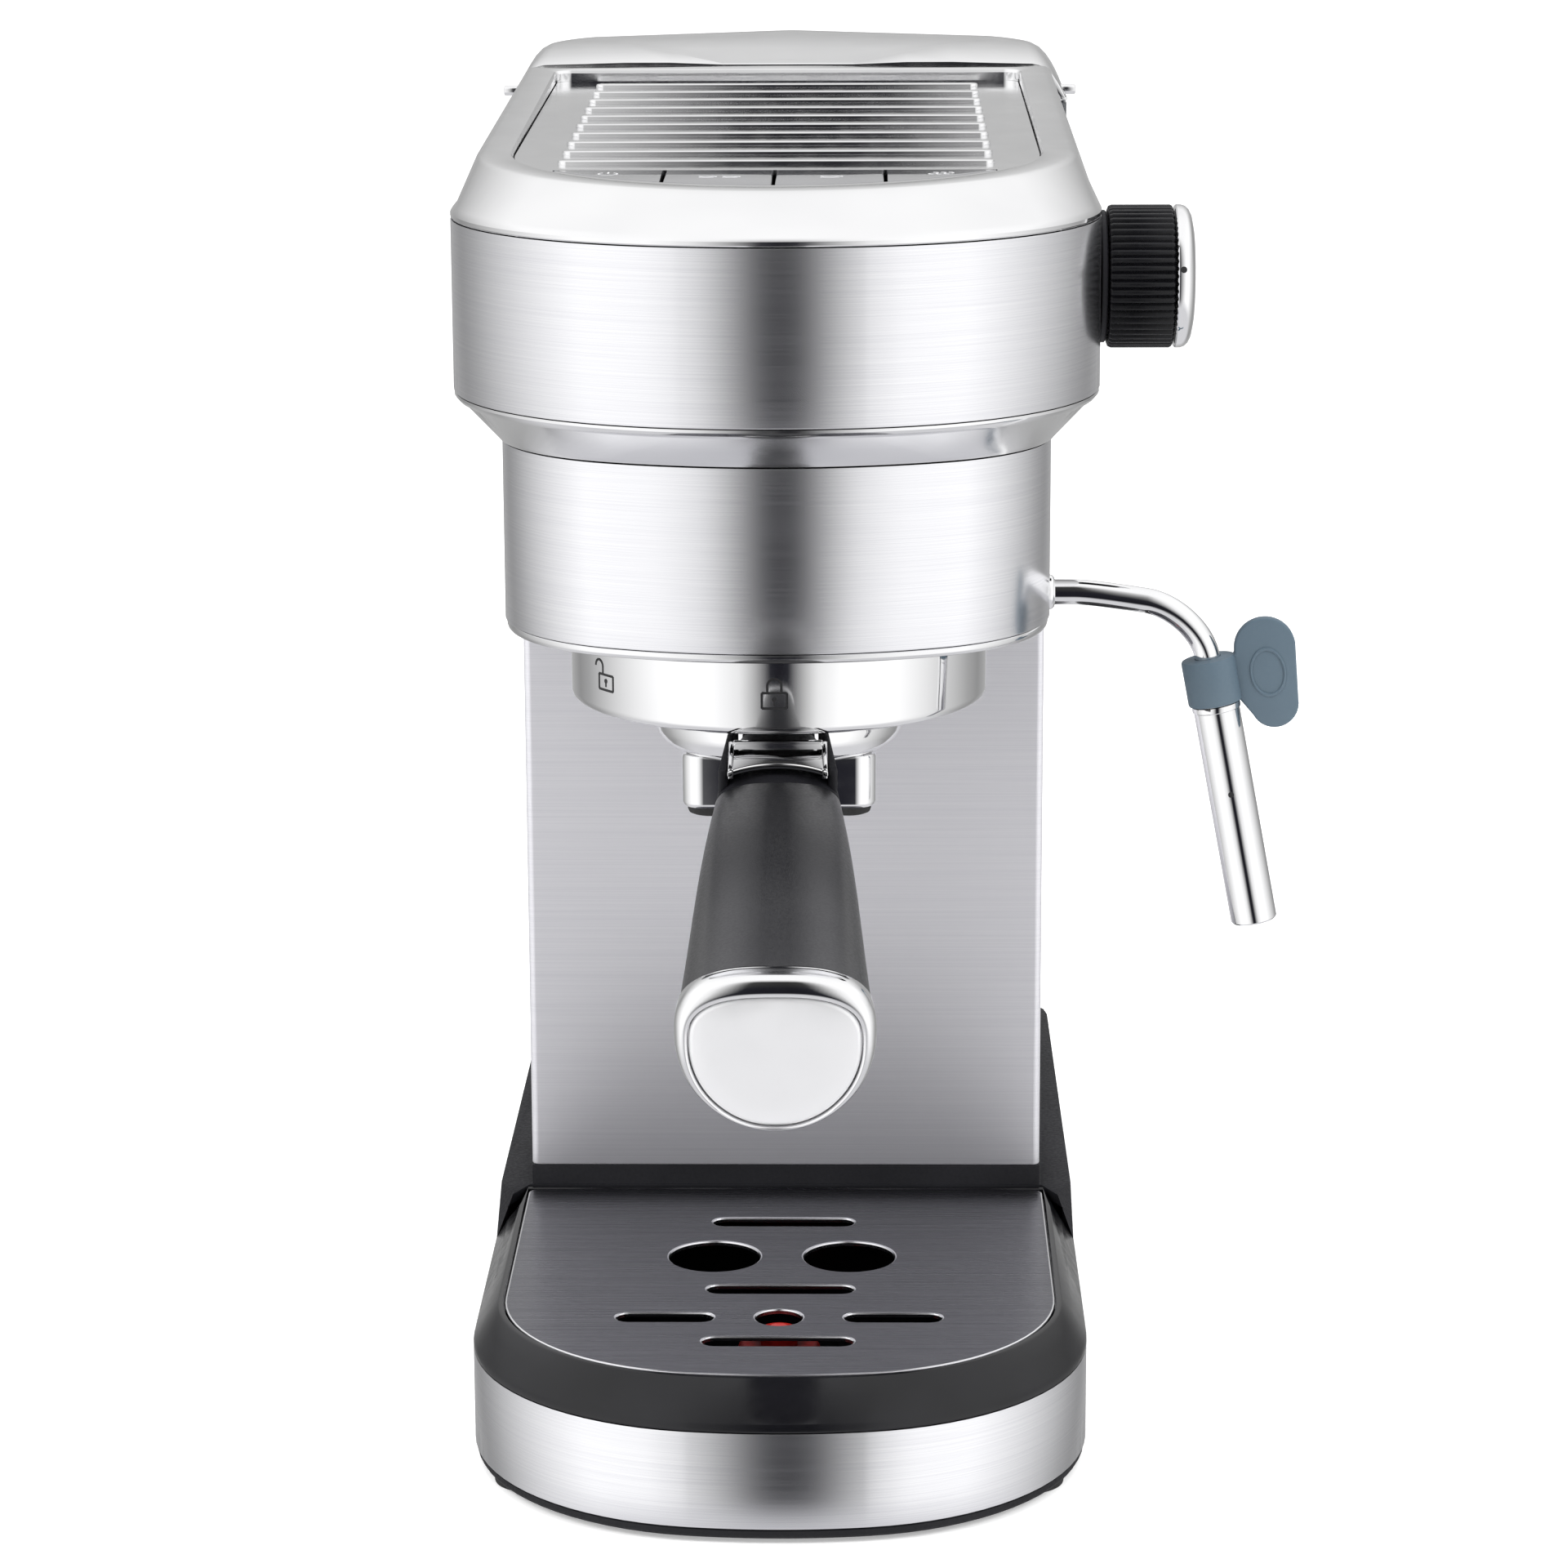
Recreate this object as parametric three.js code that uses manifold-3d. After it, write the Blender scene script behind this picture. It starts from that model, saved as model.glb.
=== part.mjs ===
// Slim pump espresso machine with a steam wand, a ribbed cup warmer and a rear water tank.
// Millimetres, +Z up. Inside the machine group X = 0 is the middle, -Y is the front,
// Y = 0 is the front edge of the drain plate and Z = 0 is the worktop.
import * as THREE from 'three';
import { mergeVertices } from 'three/addons/utils/BufferGeometryUtils.js';
import Module from 'manifold-3d';

const wasm = await Module();
wasm.setup();

// ---------------------------------------------------------------- driving dimensions

// Gaps between separate pieces.
const seatGap = 0.3; // between pieces that rest on or in each other
const slideGap = 0.5; // round pieces that slide past each other
const seamGap = 0.9; // between the drip tray and the rear base

// Whole body.
const bodyHalfWidth = 73; // head, half of its width
const bodyRear = 305; // rear face of the tank lid
const baseStep = 1; // the base is narrower than the head by this, each side
const columnStep = 8; // the column is narrower than the base by this, each side
const neckStep = 2; // the neck is narrower than the column by this, each side
const columnFront = 135;
const tankFront = 242.6;

// Heights of the stacked pieces, from the worktop up.
const footExposed = 1;
const basePlateThickness = 2.6;
const bandHeight = 22.6;
const bezelHeight = 10.2;
const plinthHeight = 5;
const columnHeight = 154;
const neckTrimHeight = 1.8;
const neckHeight = 41;
const coneHeight = 10.5;
const headHeight = 38.4;
const frameBevelHeight = 10;
const deckSlope = 0.0385; // the top rises this much per millimetre towards the rear

// Sheet and wall thicknesses.
const steelSheet = 1;
const plateSheet = 1.2;
const plasticWall = 2.5;
const tankWall = 2.2;

// Front curves: a wide arc over the middle and a tighter one into each side.
const baseCurve = { front: -9.6, frontR: 140, cornerR: 60 };
const drainCurve = { front: -0.2, frontR: 140, cornerR: 50 };
const neckCurve = { front: 12.5, frontR: 92, cornerR: 42 };
const headCurve = { front: -3, frontR: 105, cornerR: 65 };
const rimCurve = { front: 14, frontR: 90, cornerR: 65 };
const columnCornerR = 4;
const rearCornerR = 16;

// Feet.
const footRadius = 9;
const footRecess = 1.4;
const footInsetX = 15;
const footFrontY = 30;
const footRearInset = 22;

// Drip tray, drain plate and float.
const drainHalfWidth = 64.5;
const drainRear = 131;
const trayShoulderY = 118;
const trayLip = 1.1;
const bowlHoleRadius = 11;
const bowlHoleX = 16.2;
const bowlHoleY = 80;
const slotWidth = 4.6;
const midSlotHalf = 14.5;
const midSlotYs = [105.4, 56.8, 21.7];
const sideSlotInner = 18;
const sideSlotOuter = 35;
const floatHoleY = 37.5;
const floatHoleRadius = 5.5;
const floatPostRadius = 4.4;
const floatBodyHalf = 9.5;
const floatBodyFront = 17;
const floatTravel = 5;

// Group and portafilter. All of it is round about the group axis.
const groupY = 75;
const ringRadius = 48.3;
const ringWall = 7.3;
const ringHeight = 19;
const ringBelowTrim = 19.7; // how far the ring hangs below the top of the neck trim
const ledgeThickness = 2.6;
const ledgeWidth = 3.5;
const lugCount = 3;
const lugHalfAngle = 9;
const lugHeight = 3.2;
const lockAngle = 40;
const flangeHeight = 5;
const bowlRadius = 29;
const bowlDepth = 21;
const bowlWall = 2.4;
const basketSheet = 0.8;
const basketRimWidth = 7.6;
const basketDepth = 19;
const gasketHeight = 5;
const spoutHalfWidth = 22.5;
const spoutHalfDepth = 14;
const spoutHeight = 12.5;
const spoutX = 16;
const tipRadius = 5;
const tipBore = 3.2;
const tipDrop = 2.2;

// Portafilter handle, along its own axis from the bowl.
const handleTilt = 12.4; // degrees below the horizontal
const lockedTurn = 0.68; // degrees that the locked handle points to the right of straight ahead
const handleAxisDrop = 15; // handle axis below the ring, at the bowl
const neckLength = 29;
const gripLength = 100.5;
const endRingLength = 7.2;
const gripStart = { half: 14, up: 8.6, down: 9.5 };
const gripEnd = { half: 19.6, up: 15.8, down: 17.8 };
const neckStart = { half: 9.5, up: 7, down: 7 };
const endRingLip = 0.7;
const endPlateInset = 3.4;
const endPlateThickness = 2;
const clipLength = 19;
const clipStart = 7;
const clipThickness = 1.4;
const clipSide = 6;

// Steam knob, on the right of the head.
const knobY = 75;
const knobBelowTop = 15.6;
const knobRadius = 16.2;
const knobLength = 15;
const knobRibs = 32;
const knobRibDepth = 0.7;
const knobCapLength = 4.8;
const knobCollarRadius = 15;
const knobCollarThickness = 1.3;
const shaftRadius = 3;
const shaftInHead = 22;
const shaftInKnob = 9.5;

// Steam wand.
const wandY = 60;
const wandAboveTrim = 4.7;
const wandRadius = 2.9;
const socketRadius = 4;
const socketFlange = 0.6;
const socketOut = 3.5;
const elbowStart = 22; // along X from the neck to the start of the elbow
const elbowReach = 14.3;
const elbowDrop = 13.3;
const wandDrop = 2;
const wandTilt = 10.8; // degrees outwards from the vertical
const wandStraight = 50;
const nozzleLength = 6;
const gripBandRadius = 6.2;
const gripBandLength = 10.6;
const paddleThickness = 3;
const paddleX = 13.2; // middle of the paddle from the wand's axis
const paddleTopRadius = 7;
const paddleLowRadius = 5.5;
const paddleDrop = 13.3; // from the upper round to the lower one
const sleeveRadius = 5.3;
const sleeveLength = 55.4;
const sleeveWall = 1.5;
const sleeveCollar = 6;

// Cup warmer and keys, in the plane of the sloping top.
const rimInset = 6;
const recessInset = 7;
const recessFrontInset = 8;
const recessDepth = 3;
const recessRear = 233;
const ledge = 2;
const ribCount = 10;
const ribHalfLength = 49;
const ribWidth = 4;
const ribHeight = 0.9;
const ribFirstY = 64;
const ribPitch = 17.2;
const keyRear = 52.6;
const keyFront = 27.5;
const keyHalfWidth = 49;
const keyEndDepth = 1.2;
const keyGap = 0.8;
const keyHeight = 3;
const keyStemRadius = 3;
const keyTravel = 1.2;
const boardThickness = 1.6;
const boardDrop = 12;

// Tank, lid and valve.
const tankHalfWidth = 67;
const tankPocket = 5.7;
const tankFlangeHeight = 9.3;
const tankFlare = 5;
const outletY = 272;
const outletRadius = 8;
const outletBore = 5;
const outletDrop = 9;
const valveLift = 3;
const lidCrown = 3.2;
const lidTopInset = 6;
const lidRearInset = 8;
const lugReach = 3;
const lugHalfLength = 4;
const lugThickness = 2;

// Pieces inside the housing.
const boiler = { half: 34, front: 40, rear: 112, height: 34 };
const pumpRadius = 21;
const pumpLength = 86;
const pumpY = 190;
const hoseRadius = 3;
const inletX = -45;
const inletRadius = 6;
const inletFlange = 8.5;

// ---------------------------------------------------------------- levels worked out

const basePlateTop = footExposed + basePlateThickness;
const trayBottom = basePlateTop + seatGap;
const bandTop = trayBottom + bandHeight;
const deckTop = bandTop + seatGap + bezelHeight; // drain plate and rear base top
const plinthTop = deckTop + plinthHeight;
const columnBottom = plinthTop + seatGap;
const columnTop = columnBottom + columnHeight;
const trimBottom = columnTop + seatGap * 2;
const neckBottom = trimBottom + neckTrimHeight + seatGap;
const coreTop = neckBottom - seatGap; // the black core shows as a line above the steel column
const neckTop = neckBottom + neckHeight;
const coneBottom = neckTop + seatGap;
const coneTop = coneBottom + coneHeight;
const headBottom = coneTop + seatGap;
const headTop = headBottom + headHeight;
const frameBottom = headTop + seatGap;
const rimZ = frameBottom + frameBevelHeight;

const baseHalfWidth = bodyHalfWidth - baseStep;
const columnHalfWidth = baseHalfWidth - columnStep;
const neckHalfWidth = columnHalfWidth - neckStep;
const rimHalfWidth = bodyHalfWidth - rimInset;
const housingRear = tankFront - seatGap * 5;
const coreRear = housingRear - seatGap;

const ringTop = trimBottom + neckTrimHeight + ringHeight - ringBelowTrim;
const ringBottom = ringTop - ringHeight;
const ringInner = ringRadius - ringWall;
const ledgeTop = ringBottom + ledgeThickness;
const lugBottom = ledgeTop + seatGap;
const flangeRadius = ringInner - ledgeWidth - slideGap * 1.8;
const flangeTop = lugBottom + flangeHeight;
const bowlBottom = flangeTop - bowlDepth;
const bowlInner = bowlRadius - bowlWall;
const basketRadius = bowlInner - slideGap;
const basketRimZ = flangeTop + seatGap;
const basketTop = basketRimZ + basketSheet;
const gasketBottom = basketTop + seatGap;
const gasketTop = gasketBottom + gasketHeight;
const gasketInner = basketRadius + 1;
const gasketOuter = basketRadius + basketRimWidth + 1.5;
const groupTop = gasketTop + 31;
const spoutTop = bowlBottom - seatGap;
const spoutBottom = spoutTop - spoutHeight;

const knobZ = headTop - knobBelowTop;
const wandZ = neckBottom + wandAboveTrim;

// ---------------------------------------------------------------- materials

const finish = (color, roughness, metalness) =>
  new THREE.MeshStandardMaterial({ color, roughness, metalness });
const brushedSteel = finish(0xb9bbc0, 0.35, 1);
const brightChrome = finish(0xe6e7ea, 0.12, 1);
const blackGloss = finish(0x101012, 0.2, 0);
const blackMatte = finish(0x17171a, 0.6, 0);
const softTouch = finish(0x26262a, 0.75, 0);
const silicone = finish(0x667886, 0.7, 0);
const rubber = finish(0x121212, 0.9, 0);
const castAluminium = finish(0x9a9ca0, 0.55, 1);
const satinPlate = finish(0xdfe0e2, 0.45, 0.8);
const smokedTank = finish(0x5c6268, 0.25, 0);
const keyFace = finish(0x5d5f63, 0.3, 0.1);
const floatRed = finish(0xb0231c, 0.45, 0);
const boardGreen = finish(0x1f5a35, 0.6, 0);
const brass = finish(0xb08d4c, 0.35, 1);

// ---------------------------------------------------------------- geometry helpers

const deg = Math.PI / 180;

// Merges shared vertices, drops slivers with no area and turns the faces outwards.
function closed(geometry) {
  const bare = new THREE.BufferGeometry();
  bare.setAttribute('position', geometry.getAttribute('position').clone());
  if (geometry.index) bare.setIndex(geometry.index.clone());
  const merged = mergeVertices(bare, 1e-4);
  const at = merged.getAttribute('position');
  const index = merged.index.array;
  const kept = [];
  let volume = 0;
  const [a, b, c] = [new THREE.Vector3(), new THREE.Vector3(), new THREE.Vector3()];
  for (let i = 0; i < index.length; i += 3) {
    const [p, q, r] = [index[i], index[i + 1], index[i + 2]];
    if (p === q || q === r || r === p) continue;
    kept.push(p, q, r);
    a.fromBufferAttribute(at, p);
    b.fromBufferAttribute(at, q);
    c.fromBufferAttribute(at, r);
    volume += a.dot(b.cross(c));
  }
  if (volume < 0) {
    for (let i = 0; i < kept.length; i += 3) [kept[i], kept[i + 1]] = [kept[i + 1], kept[i]];
  }
  merged.setIndex(kept);
  return merged;
}

function toSolid(geometry) {
  const mesh = closed(geometry);
  return new wasm.Manifold(new wasm.Mesh({
    numProp: 3,
    vertProperties: new Float32Array(mesh.getAttribute('position').array),
    triVerts: new Uint32Array(mesh.index.array),
  }));
}

function toGeometry(solid) {
  const mesh = solid.getMesh();
  const geometry = new THREE.BufferGeometry();
  geometry.setAttribute('position', new THREE.BufferAttribute(mesh.vertProperties, 3));
  geometry.setIndex(new THREE.BufferAttribute(mesh.triVerts, 1));
  return geometry;
}

const cut = (body, ...tools) =>
  toGeometry(tools.reduce((solid, tool) => solid.subtract(toSolid(tool)), toSolid(body)));
const join = (...bodies) =>
  toGeometry(bodies.slice(1).reduce((solid, body) => solid.add(toSolid(body)), toSolid(bodies[0])));

const block = (x0, x1, y0, y1, z0, z1) =>
  new THREE.BoxGeometry(x1 - x0, y1 - y0, z1 - z0)
    .translate((x0 + x1) / 2, (y0 + y1) / 2, (z0 + z1) / 2);

// Round bar along Z, X or Y.
const barZ = (radius, z0, z1, x = 0, y = 0, sides = 20) =>
  new THREE.CylinderGeometry(radius, radius, z1 - z0, sides)
    .rotateX(Math.PI / 2).translate(x, y, (z0 + z1) / 2);
const barX = (radius, x0, x1, y, z, sides = 20) =>
  new THREE.CylinderGeometry(radius, radius, x1 - x0, sides)
    .rotateZ(Math.PI / 2).translate((x0 + x1) / 2, y, z);
const barY = (radius, y0, y1, x, z, sides = 20) =>
  new THREE.CylinderGeometry(radius, radius, y1 - y0, sides)
    .translate(x, (y0 + y1) / 2, z);

// Turned piece about Z from pairs of radius and height.
const turned = (profile, sides = 26) =>
  new THREE.LatheGeometry(profile.map(([r, z]) => new THREE.Vector2(r, z)), sides)
    .rotateX(Math.PI / 2);

function prism(points, z0, z1, holes = []) {
  const shape = new THREE.Shape(points);
  for (const hole of holes) shape.holes.push(new THREE.Path(hole));
  return new THREE.ExtrudeGeometry(shape, { depth: z1 - z0, bevelEnabled: false })
    .translate(0, 0, z0);
}

function arc(cx, cy, radius, from, to, steps) {
  const points = [];
  for (let i = 0; i <= steps; i += 1) {
    const angle = from + ((to - from) * i) / steps;
    points.push(new THREE.Vector2(cx + radius * Math.cos(angle), cy + radius * Math.sin(angle)));
  }
  return points;
}

const circle = (x, y, radius, sides = 24) => arc(x, y, radius, 0, 2 * Math.PI, sides).slice(0, -1);
const mirrored = (points) => points.map((p) => new THREE.Vector2(-p.x, p.y)).reverse();

// Slot with round ends from x0 to x1.
const slot = (x0, x1, y, width, steps = 5) => [
  ...arc(x1 - width / 2, y, width / 2, -Math.PI / 2, Math.PI / 2, steps),
  ...arc(x0 + width / 2, y, width / 2, Math.PI / 2, Math.PI * 1.5, steps),
];

// Right half of a front curve, from the middle round to the side.
function frontHalf({ half, front, frontR, cornerR }) {
  const flat = !Number.isFinite(frontR);
  const reach = flat ? 0 : Math.sqrt((frontR - cornerR) ** 2 - (half - cornerR) ** 2);
  const cornerY = flat ? front + cornerR : front + frontR - reach;
  const turn = flat ? -Math.PI / 2 : Math.atan2(-reach, half - cornerR);
  const middle = flat
    ? [new THREE.Vector2(0, front)]
    : arc(0, front + frontR, frontR, -Math.PI / 2, turn, 4).slice(0, -1);
  return [...middle, ...arc(half - cornerR, cornerY, cornerR, turn, 0, flat ? 4 : 8)];
}

// Open path from the left rear, round the front, to the right rear.
function frontPath(curve) {
  const right = [...frontHalf(curve), new THREE.Vector2(curve.half, curve.rear)];
  return [...mirrored(right.slice(1)), ...right];
}

// Closed outline with rounded rear corners.
function outline(curve) {
  const rearR = curve.rearR ?? 0;
  const corner = rearR > 0
    ? arc(curve.half - rearR, curve.rear - rearR, rearR, 0, Math.PI / 2, 5)
    : [new THREE.Vector2(curve.half, curve.rear)];
  const right = [...frontHalf(curve), ...corner];
  return [...mirrored(right.slice(1)), ...right];
}

// The same curve moved inwards by a distance, so that walls keep their thickness.
const inset = (curve, by) => ({
  half: curve.half - by,
  front: curve.front + by,
  frontR: curve.frontR - by,
  cornerR: curve.cornerR - by,
  rear: curve.rear - by,
  rearR: curve.rearR ? curve.rearR - by : 0,
});

// Strip of sheet that follows a curve and is open at the rear.
function wrapLoop(curve, thickness) {
  const inner = { ...inset(curve, thickness), rear: curve.rear };
  return [...frontPath(curve), ...frontPath(inner).reverse()];
}
const wrap = (curve, thickness, z0, z1) => prism(wrapLoop(curve, thickness), z0, z1);

// Solid through a stack of loops that have the same number of points.
function loft(loops) {
  const count = loops[0].length;
  const positions = [];
  for (const loop of loops) for (const p of loop) positions.push(p.x, p.y, p.z);
  const index = [];
  for (let layer = 0; layer + 1 < loops.length; layer += 1) {
    for (let i = 0; i < count; i += 1) {
      const j = (i + 1) % count;
      const [a, b] = [layer * count + i, layer * count + j];
      index.push(a, b, b + count, a, b + count, a + count);
    }
  }
  const top = (loops.length - 1) * count;
  const flat = (loop) => loop.map((p) => new THREE.Vector2(p.x, p.y));
  for (const [a, b, c] of THREE.ShapeUtils.triangulateShape(flat(loops[0]), [])) {
    index.push(a, c, b);
  }
  for (const [a, b, c] of THREE.ShapeUtils.triangulateShape(flat(loops.at(-1)), [])) {
    index.push(top + a, top + b, top + c);
  }
  const geometry = new THREE.BufferGeometry();
  geometry.setAttribute('position', new THREE.Float32BufferAttribute(positions, 3));
  geometry.setIndex(index);
  return closed(geometry);
}

// Lifts a flat loop to a height, which may depend on the point.
const lift = (loop, z) =>
  loop.map((p) => new THREE.Vector3(p.x, p.y, typeof z === 'function' ? z(p) : z));
const deckZ = (p) => rimZ + deckSlope * (p.y - rimCurve.front);

const machine = new THREE.Group();
function add(parent, name, geometry, material) {
  const mesh = new THREE.Mesh(closed(geometry), material);
  mesh.name = name;
  parent.add(mesh);
}

// ---------------------------------------------------------------- base, feet and tray

const baseCurveAt = (by) => inset({ half: baseHalfWidth, rear: bodyRear - 1, ...baseCurve }, by);
const baseLoop = (by) => outline({ ...baseCurveAt(by), rearR: rearCornerR - by });
const drainCurveAt = (by) => inset({ half: drainHalfWidth, rear: drainRear, ...drainCurve }, by);
const footXs = [-1, 1].map((side) => side * (baseHalfWidth - footInsetX));
const footYs = [footFrontY, bodyRear - footRearInset];

function basePlate() {
  const plate = prism(baseLoop(1.6), footExposed, basePlateTop);
  const recesses = footXs.flatMap((x) => footYs.map((y) =>
    barZ(footRadius + seatGap, 0, footExposed + footRecess, x, y)));
  return cut(plate, ...recesses);
}

// The tray's plan: the base's front curve, then a slanted seam in to the column.
function trayLoop(by, front = baseCurveAt(by)) {
  const right = [
    ...frontHalf(front),
    new THREE.Vector2(front.half, trayShoulderY - by * 0.5),
    new THREE.Vector2(drainHalfWidth, trayRear - by),
  ];
  return [...mirrored(right.slice(1)), ...right];
}
const trayRear = drainRear + seatGap + trayLip * 2;

function trayBody() {
  const under = steelSheet + seatGap;
  const lipCurve = drainCurveAt(-seatGap - trayLip);
  const shell = loft([
    lift(trayLoop(under), trayBottom),
    lift(trayLoop(under), bandTop),
    lift(trayLoop(0), bandTop + seatGap),
    lift(trayLoop(0), bandTop + seatGap + 1),
    lift(trayLoop(seatGap + trayLip, lipCurve), deckTop),
  ]);
  const wide = outline({ ...baseCurveAt(under + plasticWall), rear: trayShoulderY - 4 });
  const narrow = outline({ ...drainCurveAt(2.3), rear: trayShoulderY - 4 });
  const bowl = loft([
    lift(wide, trayBottom + plasticWall),
    lift(wide, deckTop - 13),
    lift(narrow, deckTop - 4),
    lift(narrow, deckTop + 1),
  ]);
  const rearBowl = block(
    -drainHalfWidth + 4, drainHalfWidth - 4, trayShoulderY - 8, drainRear - 2.3,
    trayBottom + plasticWall, deckTop + 1,
  );
  const seat = prism(outline(drainCurveAt(-seatGap)), deckTop - plateSheet - seatGap, deckTop + 1);
  return cut(shell, bowl, rearBowl, seat);
}

function drainPlate() {
  const holes = [
    circle(-bowlHoleX, bowlHoleY, bowlHoleRadius),
    circle(bowlHoleX, bowlHoleY, bowlHoleRadius),
    circle(0, floatHoleY, floatHoleRadius, 16),
    ...midSlotYs.map((y) => slot(-midSlotHalf - slotWidth / 2, midSlotHalf + slotWidth / 2, y, slotWidth)),
    slot(-sideSlotOuter - slotWidth / 2, -sideSlotInner + slotWidth / 2, floatHoleY, slotWidth),
    slot(sideSlotInner - slotWidth / 2, sideSlotOuter + slotWidth / 2, floatHoleY, slotWidth),
  ];
  return prism(outline(drainCurveAt(0)), deckTop - plateSheet, deckTop, holes);
}

function trayFloat() {
  const underPlate = deckTop - plateSheet;
  const bodyTop = underPlate - floatTravel - seatGap;
  return join(
    block(-floatBodyHalf, floatBodyHalf, floatBodyFront, floatHoleY + floatPostRadius,
      trayBottom + plasticWall + seatGap, bodyTop),
    barZ(floatPostRadius, bodyTop - 2, underPlate, 0, floatHoleY, 16),
  );
}

// Black rear half of the base: it holds up the column and the tank.
function rearBase() {
  const half = baseHalfWidth;
  const corner = arc(half - rearCornerR, bodyRear - 1 - rearCornerR, rearCornerR, 0, Math.PI / 2, 5);
  const plan = (by, frontBy) => {
    const right = [
      new THREE.Vector2(drainHalfWidth - by, trayRear + seamGap + frontBy),
      new THREE.Vector2(half - by, trayShoulderY + seamGap + frontBy * 1.5),
      ...corner.map((p) => new THREE.Vector2(p.x - by, p.y - by)),
    ];
    return [...mirrored(right), ...right];
  };
  const pocketFloor = deckTop - tankPocket;
  const plinthRear = coreRear;
  const plinth = block(-columnHalfWidth, columnHalfWidth, columnFront, plinthRear, deckTop - 1, plinthTop);
  const rim = plasticWall + steelSheet + seatGap;
  const shell = join(prism(plan(0, 0), trayBottom, deckTop), plinth);
  const inPlinth = block(-columnHalfWidth + rim, columnHalfWidth - rim,
    columnFront + rim, plinthRear - plasticWall, deckTop - 0.01, plinthTop + 1);
  const well = block(-columnHalfWidth + 18, columnHalfWidth - 18,
    columnFront + 15, plinthRear - 15, trayBottom, deckTop + 1);
  const underColumn = prism(plan(plasticWall, plasticWall), trayBottom - 1, deckTop - plasticWall);
  const tankSide = prism(plan(-10, 0).map((p) => new THREE.Vector2(p.x, Math.max(p.y, plinthRear))),
    pocketFloor - plasticWall, deckTop);
  const hollow = cut(underColumn, tankSide);
  const pocket = prism(tankLoop(-seatGap), pocketFloor, deckTop + 1);
  const outlet = barZ(outletRadius + slideGap, 0, deckTop, 0, outletY);
  const cordHole = barY(inletRadius + seatGap, bodyRear - 12, bodyRear + 1, inletX, (deckTop + trayBottom) / 2 - 3);
  return cut(shell, inPlinth, well, hollow, pocket, outlet, cordHole);
}

function cordInlet() {
  const z = (deckTop + trayBottom) / 2 - 3;
  const rear = bodyRear - 1;
  return cut(
    join(
      barY(inletRadius, rear - plasticWall - 4, rear + seatGap + 0.1, inletX, z),
      barY(inletFlange, rear + seatGap, bodyRear + 0.6, inletX, z),
    ),
    barY(inletRadius - 2.4, rear - plasticWall - 5, bodyRear + 2, inletX, z),
  );
}

const base = new THREE.Group();
machine.add(base);
add(base, 'base_plate', basePlate(), blackMatte);
for (const [i, x] of footXs.entries()) {
  for (const [j, y] of footYs.entries()) {
    const name = `foot_${j ? 'rear' : 'front'}_${i ? 'right' : 'left'}`;
    add(base, name, barZ(footRadius, 0, footExposed + footRecess - seatGap, x, y), rubber);
  }
}
add(base, 'rear_base', rearBase(), blackMatte);
add(base, 'cord_inlet', cordInlet(), rubber);
add(base, 'tray_body', trayBody(), blackGloss);
add(base, 'tray_band',
  wrap({ ...baseCurveAt(0), rear: trayShoulderY - 1 }, steelSheet, trayBottom, bandTop), brushedSteel);
add(base, 'drain_plate', drainPlate(), brushedSteel);
add(base, 'tray_float', trayFloat(), floatRed);

// ---------------------------------------------------------------- column and head housing

const columnCurve = {
  half: columnHalfWidth, front: columnFront, frontR: Infinity, cornerR: columnCornerR, rear: coreRear,
};
const neckCurveAt = (by) => inset({ half: neckHalfWidth, rear: housingRear, ...neckCurve }, by);
const headCurveAt = (by) => inset({ half: bodyHalfWidth, rear: housingRear, ...headCurve }, by);

function columnCore() {
  const by = steelSheet + seatGap;
  const outer = outline({ ...inset(columnCurve, by), rear: coreRear });
  const inner = outline(inset(columnCurve, by + plasticWall));
  return prism(outer, columnBottom, coreTop, [inner]);
}

// Flat plate under the neck, with the round opening for the group ring.
function neckFloor() {
  const curve = { ...neckCurveAt(steelSheet + 1.4), rear: columnFront - seatGap * 2 };
  const plate = prism(outline(curve), trimBottom - plasticWall, trimBottom + 1);
  return cut(plate, barZ(ringRadius + slideGap, trimBottom - 5, trimBottom + 5, 0, groupY, 48));
}

// Inner frame: the rear wall behind neck and head, and the shelf that carries the works.
function headChassis() {
  const neckX = neckHalfWidth - steelSheet - seatGap;
  const headX = bodyHalfWidth - plateSheet - seatGap;
  const rear = housingRear;
  const front = rear - plasticWall;
  return join(
    block(-neckX, neckX, front, rear, neckBottom, coneTop),
    block(-headX, headX, front, rear, headBottom + seatGap, headTop),
    block(-neckX, neckX, front, rear, coneTop - 1, headBottom + 5),
    block(-neckX + 3, neckX - 3, boiler.rear + 8, front + 1, coneBottom + 1, coneBottom + 1 + plasticWall),
  );
}

function transitionCone() {
  const loops = [
    lift(wrapLoop(neckCurveAt(0), steelSheet), coneBottom),
    lift(wrapLoop(neckCurveAt(-1.5), steelSheet), coneBottom + 1.2),
    lift(wrapLoop(headCurveAt(1.5), 3), coneTop - 2),
    lift(wrapLoop(headCurveAt(0), 3), coneTop),
  ];
  return loft(loops.map((loop) => loop.map((p) => p.setY(Math.min(p.y, housingRear)))));
}

function neckBand() {
  const band = wrap(neckCurveAt(0), steelSheet, neckBottom, neckTop);
  const hole = barX(socketRadius + seatGap, neckSide - 4, neckSide + 2, wandY, wandZ);
  return cut(band, hole);
}

function headBand() {
  const band = wrap(headCurveAt(0), plateSheet, headBottom, headTop);
  return cut(band, barX(shaftRadius + 2, headSide - 4, headSide + 2, knobY, knobZ));
}

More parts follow.
